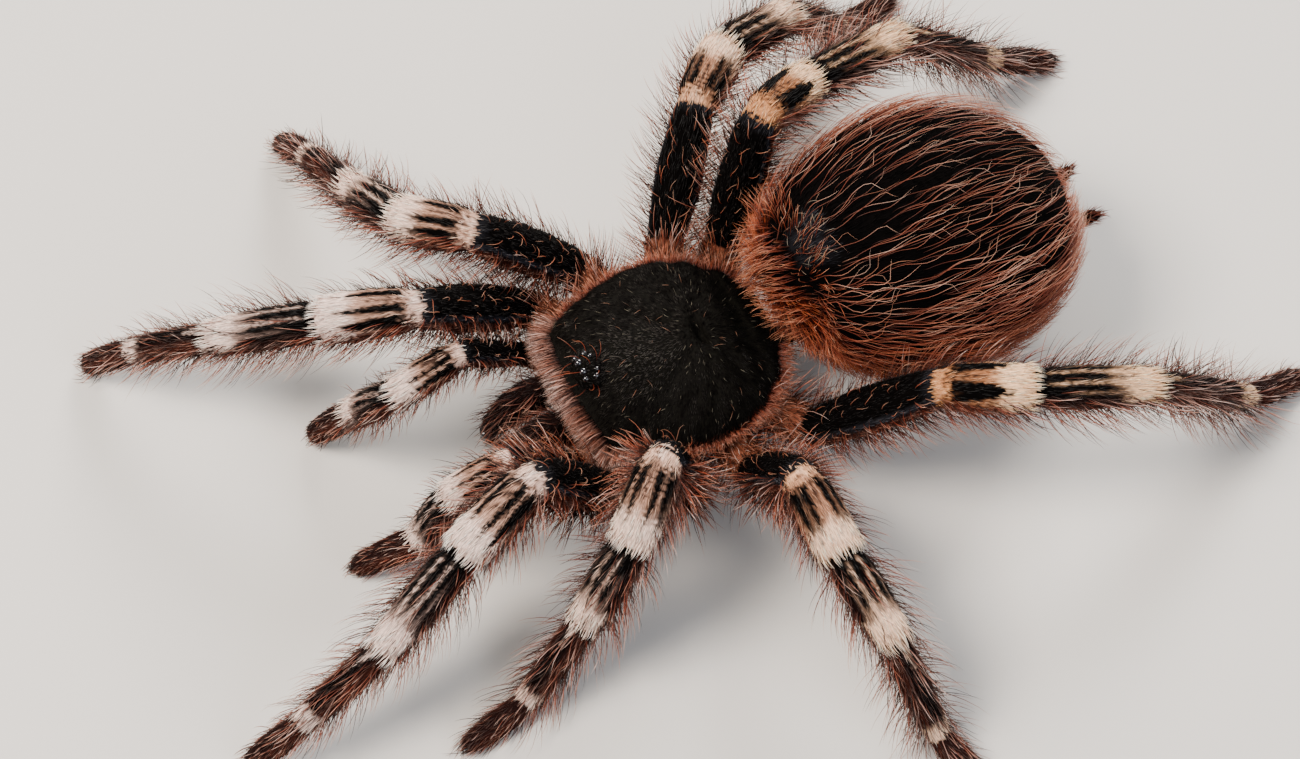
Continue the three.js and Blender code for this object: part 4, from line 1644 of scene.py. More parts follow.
    def metatarsus(self, t: Array, angle: Array, fore: float) -> Array:
        """Dark red-brown, with a pale spike at the near end and a narrow pale ring at the far one.

        Args:
            t: the place along the segment, 0 to 1.
            angle: degrees from its top.
            fore: 1 on the front legs to 0 on the hind ones.

        Returns:
            Root, middle and tip colours for each place.
        """
        pale = self.pale(fore)
        colours = tint(Dye.UMBER, Dye.ROSEWOOD, 0.4 * window(angle, 40.0, 110.0, 15.0))
        colours = tint(colours, Dye.BLACK, 0.8 * fade(16.0, 40.0, angle))
        reach = np.maximum(20.0 * (1.0 - t / 0.3), 0.5)
        colours = tint(colours, pale, 0.9 * (fade(0.0, 1.0, angle / reach) * (t < 0.3)))
        ring = smooth_step(0.8, 0.88, t + 0.02 * np.sin(0.7 * angle)) * fade(84.0, 112.0, angle)
        return tint(colours, pale, 0.92 * ring)

    def tarsus(self, t: Array, angle: Array, fore: float) -> Array:
        """Dark brown, almost black under the foot."""
        colours = tint(Dye.UMBER, Dye.ROSEWOOD, 0.35 * window(angle, 40.0, 100.0, 15.0))
        return tint(colours, Dye.BLACK, 0.6 * smooth_step(60.0, 120.0, angle))

    def flank(self, a: Array, psi: Array) -> Array:
        """Is 0 on the black back of the abdomen and 1 in its red fleece, which is higher at both ends."""
        edge = 97.0 - 50.0 * smooth_step(2.3, 2.85, a) - 43.0 * fade(0.4, 0.8, a)
        return smooth_step(-14.0, 16.0, np.abs(np.degrees(psi)) - edge)

    def abdomen(self, a: Array, psi: Array) -> Array:
        """Black velvet on the back, rust on the flanks, salmon behind, umber below.

        Args:
            a: angle along the abdomen.
            psi: angle round it, 0 on top.

        Returns:
            Root, middle and tip colours for each place.
        """
        angle = np.abs(np.degrees(psi))
        rear = smooth_step(2.2, 2.8, a)
        red = self.flank(a, psi)
        colours = tint(Dye.BLACK, Dye.RUST, red)
        low = smooth_step(96.0, 120.0, angle)
        colours = tint(colours, Dye.SALMON, red * np.clip(0.1 * low + rear, 0.0, 1.0))
        colours = tint(colours, Dye.UMBER, 0.75 * smooth_step(118.0, 150.0, angle) * (1.0 - 0.7 * rear))
        return tint(colours, Dye.GREY, 0.5 * (window(a, 0.5, 0.82, 0.08) * fade(12.0, 26.0, angle)))


# ---- skin


@dataclass
class Skin:
    """One skin over limbs, abdomen, jaws, waist and the soft body, made by fusing their closed surfaces."""

    placement: Placement
    limbs: list[Limb]
    prosoma: Prosoma
    opisthosoma: Opisthosoma
    marks: Markings
    voxel: float = 0.49
    smoothing: int = 5
    girth_mm: float = 15.0  # of the abdomen, for the comb of the streaks
    reach_mm: float = 20.0  # of the abdomen along one radian

    def sheets(self) -> list[Sheet]:
        """Lists the surfaces to fuse.

        Returns:
            The limbs, the abdomen, and then the rest.
        """
        front, rear = self.prosoma, self.opisthosoma
        core = front.place_hip(front.core_grid())
        sheets = [limb.sheet() for limb in self.limbs]
        sheets += [rear.egg(), Sheet(rear.stalk_grid()[:, ::-1]), Sheet(core[:, ::-1])]
        sheets += [Sheet(front.place(front.jaw_grid(side))) for _, side in SIDES]
        return sheets + [Sheet(rear.spinneret_grid(side)) for _, side in SIDES]

    def fuse(self, sheets: list[Sheet]) -> bpy.types.Object:
        """Fuses closed surfaces into one by a voxel remesh, and smooths what it leaves rough.

        Args:
            sheets: the surfaces.

        Returns:
            The skin, without modifiers.
        """
        points, corners = joined(sheets)
        rough = mesh_from("rough", self.placement.metres(points), corners)
        thing = new_object("skin", rough, None)
        remesh = thing.modifiers.new("fuse", "REMESH")
        remesh.mode = "VOXEL"
        remesh.voxel_size = self.voxel * MM
        relax = thing.modifiers.new("relax", "SMOOTH")
        relax.factor = 0.5
        relax.iterations = self.smoothing
        bpy.context.view_layer.update()
        fused = bpy.data.meshes.new_from_object(thing.evaluated_get(bpy.context.evaluated_depsgraph_get()))
        thing.modifiers.clear()
        thing.data = fused
        bpy.data.meshes.remove(rough)
        return thing

    def build(self) -> tuple[bpy.types.Object, Hide]:
        """Fuses the parts and marks the skin.

        Returns:
            The skin, and the surface that the hair is planted on.
        """
        sheets = self.sheets()
        thing = self.fuse(sheets)
        mesh = thing.data
        flat = np.zeros(len(mesh.vertices) * 3, np.float32)
        mesh.vertices.foreach_get("co", flat)
        vertices = flat.reshape(-1, 3).astype(float) / MM - self.placement.shift
        colours, lie = self.marked(vertices, sheets)
        paint_points(mesh, colours)
        layer = mesh.attributes.new("lie", "FLOAT_VECTOR", "POINT")
        layer.data.foreach_set("vector", lie.astype(np.float32).ravel())
        mesh.polygons.foreach_set("use_smooth", np.ones(len(mesh.polygons), bool))
        mesh.materials.clear()
        mesh.materials.append(SkinFinish().material())
        loops = np.zeros(len(mesh.loops), np.int32)
        mesh.loops.foreach_get("vertex_index", loops)
        log.info("skin: %d faces", len(mesh.polygons))
        return thing, Hide.of(vertices, loops.reshape(-1, 4))  # the remesh leaves only four-sided faces

    def marked(self, vertices: Array, sheets: list[Sheet]) -> tuple[Array, Array]:
        """Finds the part that each vertex belongs to, and marks it.

        Args:
            vertices: the skin's points in the animal's axes.
            sheets: the surfaces it was fused from.

        Returns:
            The colour of each vertex, and its combed coordinates: mm round the part and along it.
        """
        clouds = [sheet.grid[::2].reshape(-1, 3) for sheet in sheets]
        rows = [np.repeat(np.arange(len(sheet.grid))[::2], sheet.grid.shape[1]) for sheet in sheets]
        found = nearest_of(np.concatenate(clouds), vertices)
        owner = np.repeat(np.arange(len(clouds)), [len(cloud) for cloud in clouds])[found]
        row = np.concatenate(rows)[found]
        colours = np.zeros((len(vertices), 3, 3))
        lie = vertices.copy()
        for k, limb in enumerate(self.limbs):
            chosen = owner == k
            arc, psi = limb.coordinates(vertices[chosen], row[chosen])
            colours[chosen] = self.marks.limb(limb, arc, psi)
            radius = limb.radius[row[chosen]]
            lie[chosen] = np.stack([radius * np.cos(psi), radius * np.sin(psi), arc], axis=-1)
        egg = owner == len(self.limbs)
        a, psi = self.opisthosoma.coordinates(vertices[egg])
        colours[egg] = self.marks.abdomen(a, psi)
        comb = [self.girth_mm * np.cos(psi), self.girth_mm * np.sin(psi), self.reach_mm * a]
        lie[egg] = np.stack(comb, axis=-1)
        colours[owner > len(self.limbs)] = 0.5 * Dye.UMBER + 0.5 * Dye.BLACK
        share = np.where(egg, 0.12, 0.4)[:, None]
        return (1.0 - share) * colours[:, 0] + share * colours[:, 1], lie


# ---- coat


@dataclass(frozen=True)
class Fringe:
    """How one segment of a leg is fringed: hairs to a square millimetre at each height, and their growth."""

    top: float
    side: float
    below: float
    habit: Habit
    dark: float = 0.3  # share of dark hairs

    def most(self) -> float:
        """The most hairs to a square millimetre."""
        return max(self.top, self.side, self.below)

    def share(self, limb: Limb, segment: int, u: Array, v: Array) -> Array:
        """Keeps one segment's hairs, by where they stand round it: the counts run from one to the next.

        Args:
            limb: the limb.
            segment: the number of the segment.
            u: rows of the limb's sheet.
            v: parts of a turn.

        Returns:
            The part of the hairs that is kept.
        """
        index, _ = limb.where(limb.arc_at(u))
        angle = from_top(v)
        flank = self.top + (self.side - self.top) * smooth_step(48.0, 74.0, angle)
        count = flank + (self.below - flank) * smooth_step(110.0, 135.0, angle)
        return (index == segment) * count / self.most()


# Long bristles that curve back towards the tip of the limb, and the finer hair between them and the pile.
SETA = Habit(
    (3.6, 6.6), 0.11, (40.0, 70.0), (-45.0, -15.0),
    splay=12.0, sway=0.03, waves=0.7, rings=4, flat=0.8, taper=3.0,
)
UNDERFUR = Habit(
    (1.8, 3.6), 0.1, (30.0, 60.0), (-34.0, -8.0),
    splay=15.0, sway=0.04, waves=0.6, rings=3, flat=0.8, taper=2.2,
)
# Stiff hair that bows a little, and a thin stray hair that curls over.
BRISTLE = Habit((1.8, 4.2), 0.1, (35.0, 70.0), (-50.0, 0.0), splay=18.0, rings=4, flat=0.8, taper=2.2)
CURL = Habit((1.4, 2.8), 0.1, (30.0, 70.0), (-150.0, -50.0), splay=40.0, rings=6, flat=0.85, taper=2.4)


def setae(length: Pair, lift: Pair, turn: Pair) -> Habit:
    """Bristles of a given length and lean."""
    return replace(SETA, length=length, lift=lift, turn=turn)


def underfur(length: Pair, lift: Pair) -> Habit:
    """Underfur of a given length and lean."""
    return replace(UNDERFUR, length=length, lift=lift)


FRINGES = {
    Part.COXA: (
        Fringe(2.2, 2.4, 0.6, setae((3.6, 6.6), (46.0, 84.0), (-40.0, 0.0))),
        Fringe(2.0, 2.0, 0.6, underfur((1.6, 3.0), (35.0, 65.0)), 0.3),
    ),
    Part.FEMUR: (
        Fringe(0.0, 1.6, 1.7, setae((3.8, 6.4), (54.0, 84.0), (-44.0, -14.0))),
        Fringe(0.0, 2.2, 2.0, underfur((1.8, 3.6), (44.0, 76.0)), 0.7),
    ),
    Part.PATELLA: (
        Fringe(0.0, 1.5, 1.4, setae((3.4, 6.0), (42.0, 70.0), (-46.0, -18.0))),
        Fringe(0.0, 2.2, 1.6, underfur((1.6, 3.0), (28.0, 54.0)), 0.7),
    ),
    Part.TIBIA: (
        Fringe(0.12, 2.1, 1.6, setae((4.2, 7.4), (42.0, 68.0), (-46.0, -20.0))),
        Fringe(0.5, 2.4, 1.5, underfur((1.8, 3.6), (22.0, 48.0)), 0.7),
    ),
    Part.METATARSUS: (
        Fringe(0.5, 2.3, 1.4, setae((3.6, 6.6), (34.0, 60.0), (-42.0, -14.0))),
        Fringe(1.4, 2.8, 1.4, underfur((1.8, 3.4), (16.0, 44.0)), 0.6),
    ),
    Part.TARSUS: (
        Fringe(0.6, 1.5, 0.4, setae((2.0, 3.8), (24.0, 50.0), (-40.0, -10.0))),
        Fringe(2.0, 2.4, 0.6, underfur((1.2, 2.3), (14.0, 38.0)), 0.6),
    ),
}


@dataclass
class Coat:
    """Plants and grows every hair of the animal."""

    placement: Placement
    prosoma: Prosoma
    body: Opisthosoma
    hide: Hide
    marks: Markings

    def clear(self, plot: Plot, path: Array, lowest: float = -math.inf) -> Array:
        """Finds hairs that stay out of the carapace and whose normal's upward part is over the lowest."""
        return self.prosoma.clear(path) & (plot.normal[:, 2] > lowest)

    def limbs(self, name: str, limbs: Sequence[Limb]) -> None:
        """Grows the coat of some limbs: short pile all over, fringes, long bristles and curls.

        Args:
            name: the piece's name.
            limbs: the limbs, each with its own strip of the unwrap.
        """
        fleece = Fleece(name, LIMB_HAIR, "striped_pile", strips=len(limbs))
        for strip, limb in enumerate(limbs):
            dice = np.random.default_rng(SEED + sum(map(ord, limb.name)))
            sheet = limb.sheet()
            self.pile(fleece, limb, sheet, strip, dice)
            self.fringes(fleece, limb, sheet, strip, dice)
            self.curls(fleece, limb, sheet, strip, dice)
        fleece.weave(self.placement)

    def pile(self, fleece: Fleece, limb: Limb, sheet: Sheet, strip: int, dice: Dice) -> None:
        """Short hair that lies along the limb, longest on the pale caps and shortest on the foot.

        A hair takes the colour of the place its tip reaches, and the last hairs of a cap stand up in a brim.

        Args:
            fleece: the piece to add to.
            limb: the limb.
            sheet: its skin.
            strip: its strip of the unwrap.
            dice: the random generator.
        """

        def share(u: Array, v: Array) -> Array:
            """Fewer below, where nothing shows."""
            return 1.0 - 0.55 * smooth_step(95.0, 135.0, from_top(v))

        plot = plant(sheet, self.hide, 4.2 if limb.is_palp() else 5.2, dice, share)
        arc = limb.arc_at(plot.u)
        index, t = limb.where(arc)
        part = np.array([p.value for p in limb.parts])[index]
        stretch = np.array([1.25, 1.0, 1.0, 1.1, 1.1, 0.8])[part]
        cap = ((part == Part.PATELLA.value) & (t > 0.6)) | ((part == Part.TIBIA.value) & (t > 0.75))
        stretch = stretch * np.where(cap, 1.2, 1.0)
        brim = cap & (limb.marks[index + 1] - arc < 1.5)
        tip = 0.6 * stretch + dice.normal(0.0, 0.16, len(plot))  # mm from root to tip along the limb
        place = np.clip(arc + tip, 0.0, limb.marks[-1])
        place = np.where(cap, np.minimum(place, limb.marks[index + 1] - 0.02), place)
        colours = self.marks.limb(limb, place, plot.v * FULL_TURN + dice.normal(0.0, 0.03, len(plot)))
        laid = Habit((1.0, 1.65), 0.15, (9.0, 24.0), (-22.0, -8.0), splay=6.0, flat=0.55)
        flared = replace(laid, length=(1.5, 2.1), lift=(24.0, 40.0), turn=(-44.0, -24.0))
        for chosen, habit in ((~brim, laid), (brim, flared)):
            tufts = plot.keep(chosen)
            fleece.grow(tufts, habit, colours[chosen], dice, Lock(5, 0.35, 0.8), strip, stretch[chosen])

    def fringes(self, fleece: Fleece, limb: Limb, sheet: Sheet, strip: int, dice: Dice) -> None:
        """Long hair at the sides and below that leans outwards along the limb; on top it lies flatter.

        The hind metatarsi have it longer and more upright, like a brush.

        Args:
            fleece: the piece to add to.
            limb: the limb.
            sheet: its skin.
            strip: its strip of the unwrap.
            dice: the random generator.
        """
        scale = 0.68 if limb.is_palp() else 1.0
        for i, part in enumerate(limb.parts):
            brush = 1.0 - limb.fore if part is Part.METATARSUS else 0.0
            for fringe in FRINGES[part]:
                plot = plant(sheet, self.hide, fringe.most(), dice, partial(fringe.share, limb, i))
                habit = replace(
                    fringe.habit,
                    length=tuple(size * scale * (1.0 + 0.35 * brush) for size in fringe.habit.length),
                    lift=tuple(lift + 12.0 * brush for lift in fringe.habit.lift),
                )
                painter = partial(self.fringe_colours, limb, fringe.dark, dice)
                grow = partial(fleece.grow, dice=dice, lock=Lock(4, 0.3), strip=strip, clear=self.clear)
                if fringe.top and part is not Part.COXA:
                    above = from_top(plot.v) < 55.0
                    laid = replace(habit, lift=(7.0 + 22.0 * brush, 24.0 + 26.0 * brush), turn=(-14.0, 2.0))
                    grow(plot.keep(above), laid, painter)
                    plot = plot.keep(~above)
                grow(plot, habit, painter)

    def fringe_colours(self, limb: Limb, dark: float, dice: Dice, plot: Plot) -> Array:
        """Gives each fringe hair its own shade: rust to rosy brown, some of them rosy, towards the foot partly
        as painted highlight, and some dark.

        Args:
            limb: the limb.
            dark: the share of dark hairs.
            dice: the random generator.
            plot: the roots.

        Returns:
            Root, middle and tip colours of each hair.
        """
        outer = smooth_step(0.35, 0.9, limb.arc_at(plot.u) / limb.marks[-1])
        shade, blush, night, chance = (dice.uniform(0.0, 1.0, len(plot)) for _ in range(4))
        colours = tint(Dye.RUST, Dye.ROSEWOOD, np.clip(0.1 + 0.45 * outer + 0.8 * shade, 0.0, 1.0))
        # More rosy hairs towards the foot: partly the hair's own colour, partly painted highlight.
        rosy = 0.15 + 0.28 * outer + (0.1 + 0.2 * outer) * (1.0 - limb.fore)
        colours = tint(colours, Dye.BLUSH, (blush < rosy) * 0.9)
        return tint(colours, tint(Dye.BLACK, Dye.UMBER, night), (chance < dark) * 0.9)

    def curls(self, fleece: Fleece, limb: Limb, sheet: Sheet, strip: int, dice: Dice) -> None:
        """Sparse hooked golden hairs over the black velvet of the femur.

        Args:
            fleece: the piece to add to.
            limb: the limb.
            sheet: its skin.
            strip: its strip of the unwrap.
            dice: the random generator.
        """

        def share(u: Array, v: Array) -> Array:
            """Keeps the upper side of the femur."""
            index, t = limb.where(limb.arc_at(u))
            return (index == Part.FEMUR.value) * fade(60.0, 80.0, from_top(v)) * smooth_step(0.02, 0.1, t)

        plot = plant(sheet, self.hide, 0.34, dice, share)
        hook = Habit(
            (1.8, 3.6), 0.1, (50.0, 85.0), (-130.0, -60.0),
            splay=26.0, sway=0.05, rings=6, flat=0.85, taper=2.4,
        )
        fleece.grow(plot, hook, blend(Dye.EMBER, Dye.TAN, dice)(plot), dice, strip=strip)

    def abdomen(self) -> None:
        """Grows velvet on the back, fleece on the flanks, long waves over both and spikes in front."""
        body, sheet = self.body, self.body.egg()
        dice = np.random.default_rng(SEED + 1)

        def flank(u: Array, v: Array) -> Array:
            """Reads the share of fleece at a place on the sheet."""
            return self.marks.flank(*body.angles(u, v))

        velvet = Fleece("coat_abdomen_velvet", VELVET, "rust_fleece")
        plot = plant(sheet, self.hide, 5.0, dice, lambda u, v: 1.0 - 0.75 * flank(u, v))
        habit = Habit((0.9, 1.5), 0.16, (12.0, 30.0), (-20.0, -6.0), splay=9.0, flat=0.5)
        velvet.grow(plot, habit, self.marks.abdomen(*body.angles(plot.u, plot.v)), dice)

        fleece = Fleece("coat_abdomen_fleece", FLEECE, "rust_fleece")
        plot = plant(sheet, self.hide, 3.6, dice, flank)
        a, psi = body.angles(plot.u, plot.v)
        plot.lie = flatten_onto(plot.lie + 1.6 * fade(0.15, 0.6, a)[:, None] * UP + 0.01, plot.normal)
        habit = Habit(
            (2.6, 4.6), 0.13, (26.0, 56.0), (-36.0, -8.0),
            splay=12.0, sway=0.05, waves=0.9, rings=3, flat=0.7, taper=1.9,
        )
        fleece.grow(plot, habit, self.marks.abdomen(a, psi), dice, Lock(5, 0.45))
        self.long_waves(sheet, dice)
        self.spikes(sheet, dice)
        velvet.weave(self.placement)
        fleece.weave(self.placement)

    def wave_share(self, u: Array, v: Array) -> Array:
        """Long waves are sparse on the back and dense on the flanks, and there are none at the two ends.

        Args:
            u: rows of the abdomen's sheet.
            v: parts of a turn.

        Returns:
            The part of the hairs that is kept.
        """
        a, psi = self.body.angles(u, v)
        spread = 0.26 + 0.74 * smooth_step(28.0, 85.0, np.abs(np.degrees(psi)))
        spread = spread * smooth_step(0.25, 0.5, a) * fade(2.45, 2.75, a)
        return spread * (1.0 - 0.8 * smooth_step(1.9, 2.3, np.abs(psi)))

    def long_waves(self, sheet: Sheet, dice: Dice) -> None:
        """Long wavy hairs that flow back over the abdomen just above its surface.

        A hair keeps to the egg: its angle a grows with the length along it, psi sways in a sine wave and
        hooks aside near the tip, and its height over the skin rises with the length.

        Args:
            sheet: the abdomen's skin.
            dice: the random generator.
        """

        plot = plant(sheet, self.hide, 1.1, dice, self.wave_share)
        habit = Habit((6.5, 12.5), 0.082, (0.0, 0.0), (0.0, 0.0), rings=11, flat=0.85, taper=3.5)

        def drawn(low: float, high: float) -> Array:
            """Draws one number for each hair, as a column."""
            return dice.uniform(low, high, len(plot))[:, None]

        a, psi = (angle[:, None] for angle in self.body.angles(plot.u, plot.v))
        t = np.linspace(0.0, 1.0, habit.rings + 1)[None, :]
        length, phase = drawn(*habit.length), drawn(0.0, FULL_TURN)
        waves = length / drawn(6.0, 10.0)
        amplitude = drawn(0.12, 0.42)
        hook = (drawn(0.0, 1.0) < 0.3) * dice.choice([-1.0, 1.0], len(plot))[:, None]
        wave = FULL_TURN * waves * t + phase
        sideways = amplitude * (np.sin(wave) - np.sin(phase)) * np.minimum(1.0, 2.0 * t)
        sideways = sideways + hook * 1.1 * smooth_step(0.76, 1.0, t)
        sideways = sideways + (dice.normal(0.0, 0.4, len(plot))[:, None] - np.sin(psi)) * t
        girth = np.maximum(14.0 * np.sin(a), 4.0)  # mm of the abdomen round one radian
        reach = 19.0  # mm of it along one radian
        travel = length * (t - 0.07 * np.abs(hook) * smooth_step(0.8, 1.0, t))
        height = 0.1 + drawn(0.9, 2.6) * t**0.7 + 0.15 * np.sin(wave + 1.5) * t
        path = self.body.surface(np.minimum(a + travel / reach, 3.05), psi + sideways / girth, height)
        path[:, 0] = plot.root
        strands = tint(Dye.WAVE_RED, Dye.WAVE_PALE, drawn(0.0, 1.0)[:, 0] ** 1.3)
        low = smooth_step(0.8, 1.5, np.abs(psi[:, 0])) * fade(2.0, 2.6, a[:, 0])
        fleece = Fleece("coat_abdomen_waves", FLEECE, "rust_fleece")
        fleece.add(path, habit, plot, tint(strands, 0.75 * Dye.RUST, 0.8 * low), dice)
        fleece.weave(self.placement)

    def spikes(self, sheet: Sheet, dice: Dice) -> None:
        """Rust-red hairs with pale tips that stand out round the front of the abdomen, and curls behind them.

        Args:
            sheet: the abdomen's skin.
            dice: the random generator.
        """

        def collar(u: Array, v: Array) -> Array:
            """A band round the front end, thinner below."""
            a, psi = self.body.angles(u, v)
            return window(a, 0.16, 0.66, 0.12) * (1.0 - 0.6 * smooth_step(1.9, 2.4, np.abs(psi)))

        def patch(u: Array, v: Array) -> Array:
            """A patch on the back, behind the band."""
            a, psi = self.body.angles(u, v)
            return window(a, 0.5, 0.85, 0.08) * (np.abs(psi) < 0.5)

        fleece = Fleece("coat_abdomen_spikes", FLEECE, "rust_fleece")
        plot = plant(sheet, self.hide, 3.4, dice, collar)
        a, _ = self.body.angles(plot.u, plot.v)
        back, ahead = smooth_step(0.45, 0.75, a)[:, None], fade(0.35, 0.6, a)[:, None]
        plot.lie = unit(plot.lie * back - plot.lie * ahead + 0.02)
        spike = Habit(
            (2.4, 4.8), 0.12, (36.0, 78.0), (-26.0, 14.0),
            splay=16.0, sway=0.04, rings=4, flat=0.8, taper=2.2,
        )
        fleece.grow(plot, spike, blend(Dye.SPIKE_RED, Dye.SPIKE_PALE, dice)(plot), dice, Lock(3, 0.4))
        plot = plant(sheet, self.hide, 0.9, dice, patch)
        curl = replace(CURL, width=0.09)
        fleece.grow(plot, curl, blend(Dye.GLINT, Dye.TAN, dice), dice)
        fleece.weave(self.placement)

    def carapace(self, shell: Hide) -> None:
        """Grows olive-black velvet that runs out from the fovea, its silvery tips painted sheen, with pale
        glints, and the rim's fringes.

        Args:
            shell: the carapace's surface.
        """
        front = self.prosoma
        dice = np.random.default_rng(SEED + 2)
        plot = plant(front.dressed_shell(), shell, 15.0, dice, lambda u, v: (v < 0.5) * 1.0)
        local = front.unplace(plot.root)
        x, y = local[:, 0], local[:, 1]
        away = (local - [0.0, (front.fovea_row - 0.5) * front.length, 0.0]) * [1.0, 1.0, 0.0]
        ahead = unit(away) + 0.5 * AHEAD * window(y, -14.0, -4.0, 3.0)[:, None]
        plot.lie = flatten_onto(ahead @ front.frame().T, plot.normal)
        caput = bell(x, 0.0, 3.6) * window(y, -11.0, 1.0, 3.0)
        # Share of olive hair, most on the caput, whose silvery tips are painted sheen; none grows near the
        # fovea, so the pit stays black.
        olive = np.clip(0.12 + 0.7 * caput + 0.3 * ripple(local, 2.4, 5), 0.0, 1.0)
        colours = tint(Dye.BLACK, Dye.OLIVE, olive * smooth_step(0.8, 2.5, np.linalg.norm(away, axis=1)))
        colours = tint(colours, Dye.ROSEWOOD, 0.4 * fade(0.2, 1.1, front.half_width_at(y) - np.abs(x)))
        pale = (dice.uniform(0.0, 1.0, len(plot)) < 0.02) * dice.uniform(0.2, 0.7, len(plot))
        colours = tint(colours, Dye.GLINT, pale)
        margin = front.set_back(0.0, x / front.front_half_width()) - front.length / 2.0
        shorter = 0.35 + 0.65 * smooth_step(0.4, 2.2, y - margin)
        habit = Habit((0.7, 1.25), 0.1, (10.0, 26.0), (-20.0, -4.0), splay=16.0, flat=0.5)
        velvet = Fleece("coat_carapace", VELVET, "shell_pile")
        velvet.grow(plot, habit, colours, dice, Lock(6, 0.4, 0.6), stretch=shorter)
        # Stray hairs mixed from tan and olive hair whose silvery tips are painted sheen.
        glints = plot.keep(dice.uniform(0.0, 1.0, len(plot)) < 0.007)
        stray = Habit((0.8, 1.7), 0.07, (30.0, 60.0), (-90.0, -30.0), 50.0, rings=4, flat=0.8, taper=2.2)
        velvet.grow(glints, stray, blend(Dye.OLIVE, Dye.TAN, dice, 0.1, 0.8), dice)
        velvet.weave(self.placement)
        self.rim_fringe(dice)

    def along_rim(self, weight: Callable[[Array], Array], count: int, dice: Dice) -> tuple[Plot, Array]:
        """Plants roots along the carapace's edge.

        Args:
            weight: from points of the edge, how thickly the roots stand there.
            count: how many roots to plant.
            dice: the random generator.

        Returns:
            The roots with their lie outwards in the plane of the rim, and their places in the rim's axes.
        """
        walk, outward = self.prosoma.rim(1200)
        total = np.concatenate([[0.0], np.cumsum(weight(walk)[:-1])])
        even = (np.arange(count) + dice.uniform(0.0, 1.0, count)) / count * total[-1]
        spot = np.interp(even, total, np.arange(len(walk)))
        local, ahead = (read_line(spot, np.arange(len(walk)), table) for table in (walk, outward))
        frame = self.prosoma.frame()
        normal = np.broadcast_to(frame @ UP, (count, 3)).copy()
        along = spot / len(walk)
        chart = np.stack([along, np.full(count, 0.5)], axis=-1)
        lie = unit(ahead) @ frame.T
        return Plot(along, np.zeros(count), self.prosoma.place(local), normal, lie, chart), local

    def rim_fringe(self, dice: Dice) -> None:
        """Grows the soft fringe round the rim and the thick combed band along the front margin, whose whitish
        hairs are painted highlights.

        Args:
            dice: the random generator.
        """
        front = self.prosoma
        fleece = Fleece("coat_carapace_fringe", FLEECE, "shell_pile", strips=2)
        plot, local = self.along_rim(lambda walk: 0.02 + smooth_step(-12.0, -9.0, walk[:, 1]), 2200, dice)
        inward, down = (dice.uniform(*span, len(plot))[:, None] for span in ((0.1, 0.8), (-0.1, 0.5)))
        plot.root = plot.root - plot.lie * inward - plot.normal * down
        soft = Habit((0.9, 2.0), 0.1, (-30.0, 34.0), (-40.0, 8.0), splay=18.0, rings=3, flat=0.8, taper=2.0)
        longer = 1.0 + 0.7 * smooth_step(2.0, 10.0, local[:, 1])
        fleece.grow(plot, soft, blend(Dye.ROSEWOOD, Dye.RUST, dice), dice, Lock(4, 0.4), stretch=longer)

        plot, local = self.along_rim(lambda walk: fade(-11.6, -9.4, walk[:, 1]), 1700, dice)
        frame = front.frame()
        ahead = flatten_onto(plot.lie @ frame + 0.35 * AHEAD, np.broadcast_to(UP, plot.lie.shape))
        plot.lie = ahead @ frame.T
        row = dice.uniform(0.0, 1.0, len(plot))
        across = np.clip(local[:, 0] / front.front_half_width(), -1.0, 1.0)
        brow = (front.crest(np.zeros(1)) + 0.1) * np.sqrt(1.0 - across**2)
        plot.root = plot.root - plot.lie * 0.6 + plot.normal * (0.1 + brow * (1.0 - 0.85 * row))[:, None]
        # Share of whitish hair in the band, in ripples and at random: painted highlights.
        pale_highlight = np.clip(0.3 + 0.4 * ripple(local, 2.2, 9) + dice.normal(0.0, 0.4, len(plot)), 0.0, 1.0)
        colours = tint(Dye.BROW_PINK, Dye.BROW_PALE, pale_highlight)
        colours = tint(colours, Dye.UMBER, (dice.uniform(0.0, 1.0, len(plot)) < 0.22) * 0.9)
        combed = Habit((2.4, 3.6), 0.095, (-12.0, 12.0), (-44.0, -10.0), 9.0, rings=4, flat=0.8, taper=3.0)
        fleece.grow(plot, combed, colours, dice, Lock(4, 0.35), strip=1)
        fleece.weave(self.placement)

    def head(self) -> None:
        """Grows short dark pile and long reddish bristles on the jaws, and fuzz on the spinnerets."""
        fleece = Fleece("coat_jaws_spinnerets", LIMB_HAIR, "black_pile", strips=6)
        dice = np.random.default_rng(SEED + 3)
        pile = Habit((0.7, 1.2), 0.13, (14.0, 32.0), (-20.0, -4.0), splay=12.0, flat=0.5)
        bristle = replace(BRISTLE, length=(1.8, 4.2), width=0.11, lift=(26.0, 62.0))
        fuzz = replace(pile, length=(0.9, 1.9), lift=(20.0, 50.0))
        jaw_layers = (
            (7.0, pile, blend(Dye.BLACK, Dye.UMBER, dice, 0.0, 0.7), None),
            (1.8, bristle, blend(Dye.UMBER, Dye.ROSEWOOD, dice), Lock(3, 0.4)),
        )
        for strip, (_, side) in enumerate(SIDES):
            sheet = Sheet(self.prosoma.place(self.prosoma.jaw_grid(side)))
            for per_mm2, habit, painter, lock in jaw_layers:
                plot = plant(sheet, self.hide, per_mm2, dice)
                plot.lie = -plot.lie
                fleece.grow(plot, habit, painter, dice, lock, strip)
            plot = plant(Sheet(self.body.spinneret_grid(side)), self.hide, 9.0, dice)
            fleece.grow(plot, fuzz, blend(Dye.UMBER, Dye.RUST, dice), dice, strip=strip + 2)
        self.soft_body(fleece, dice)
        fleece.weave(self.placement)

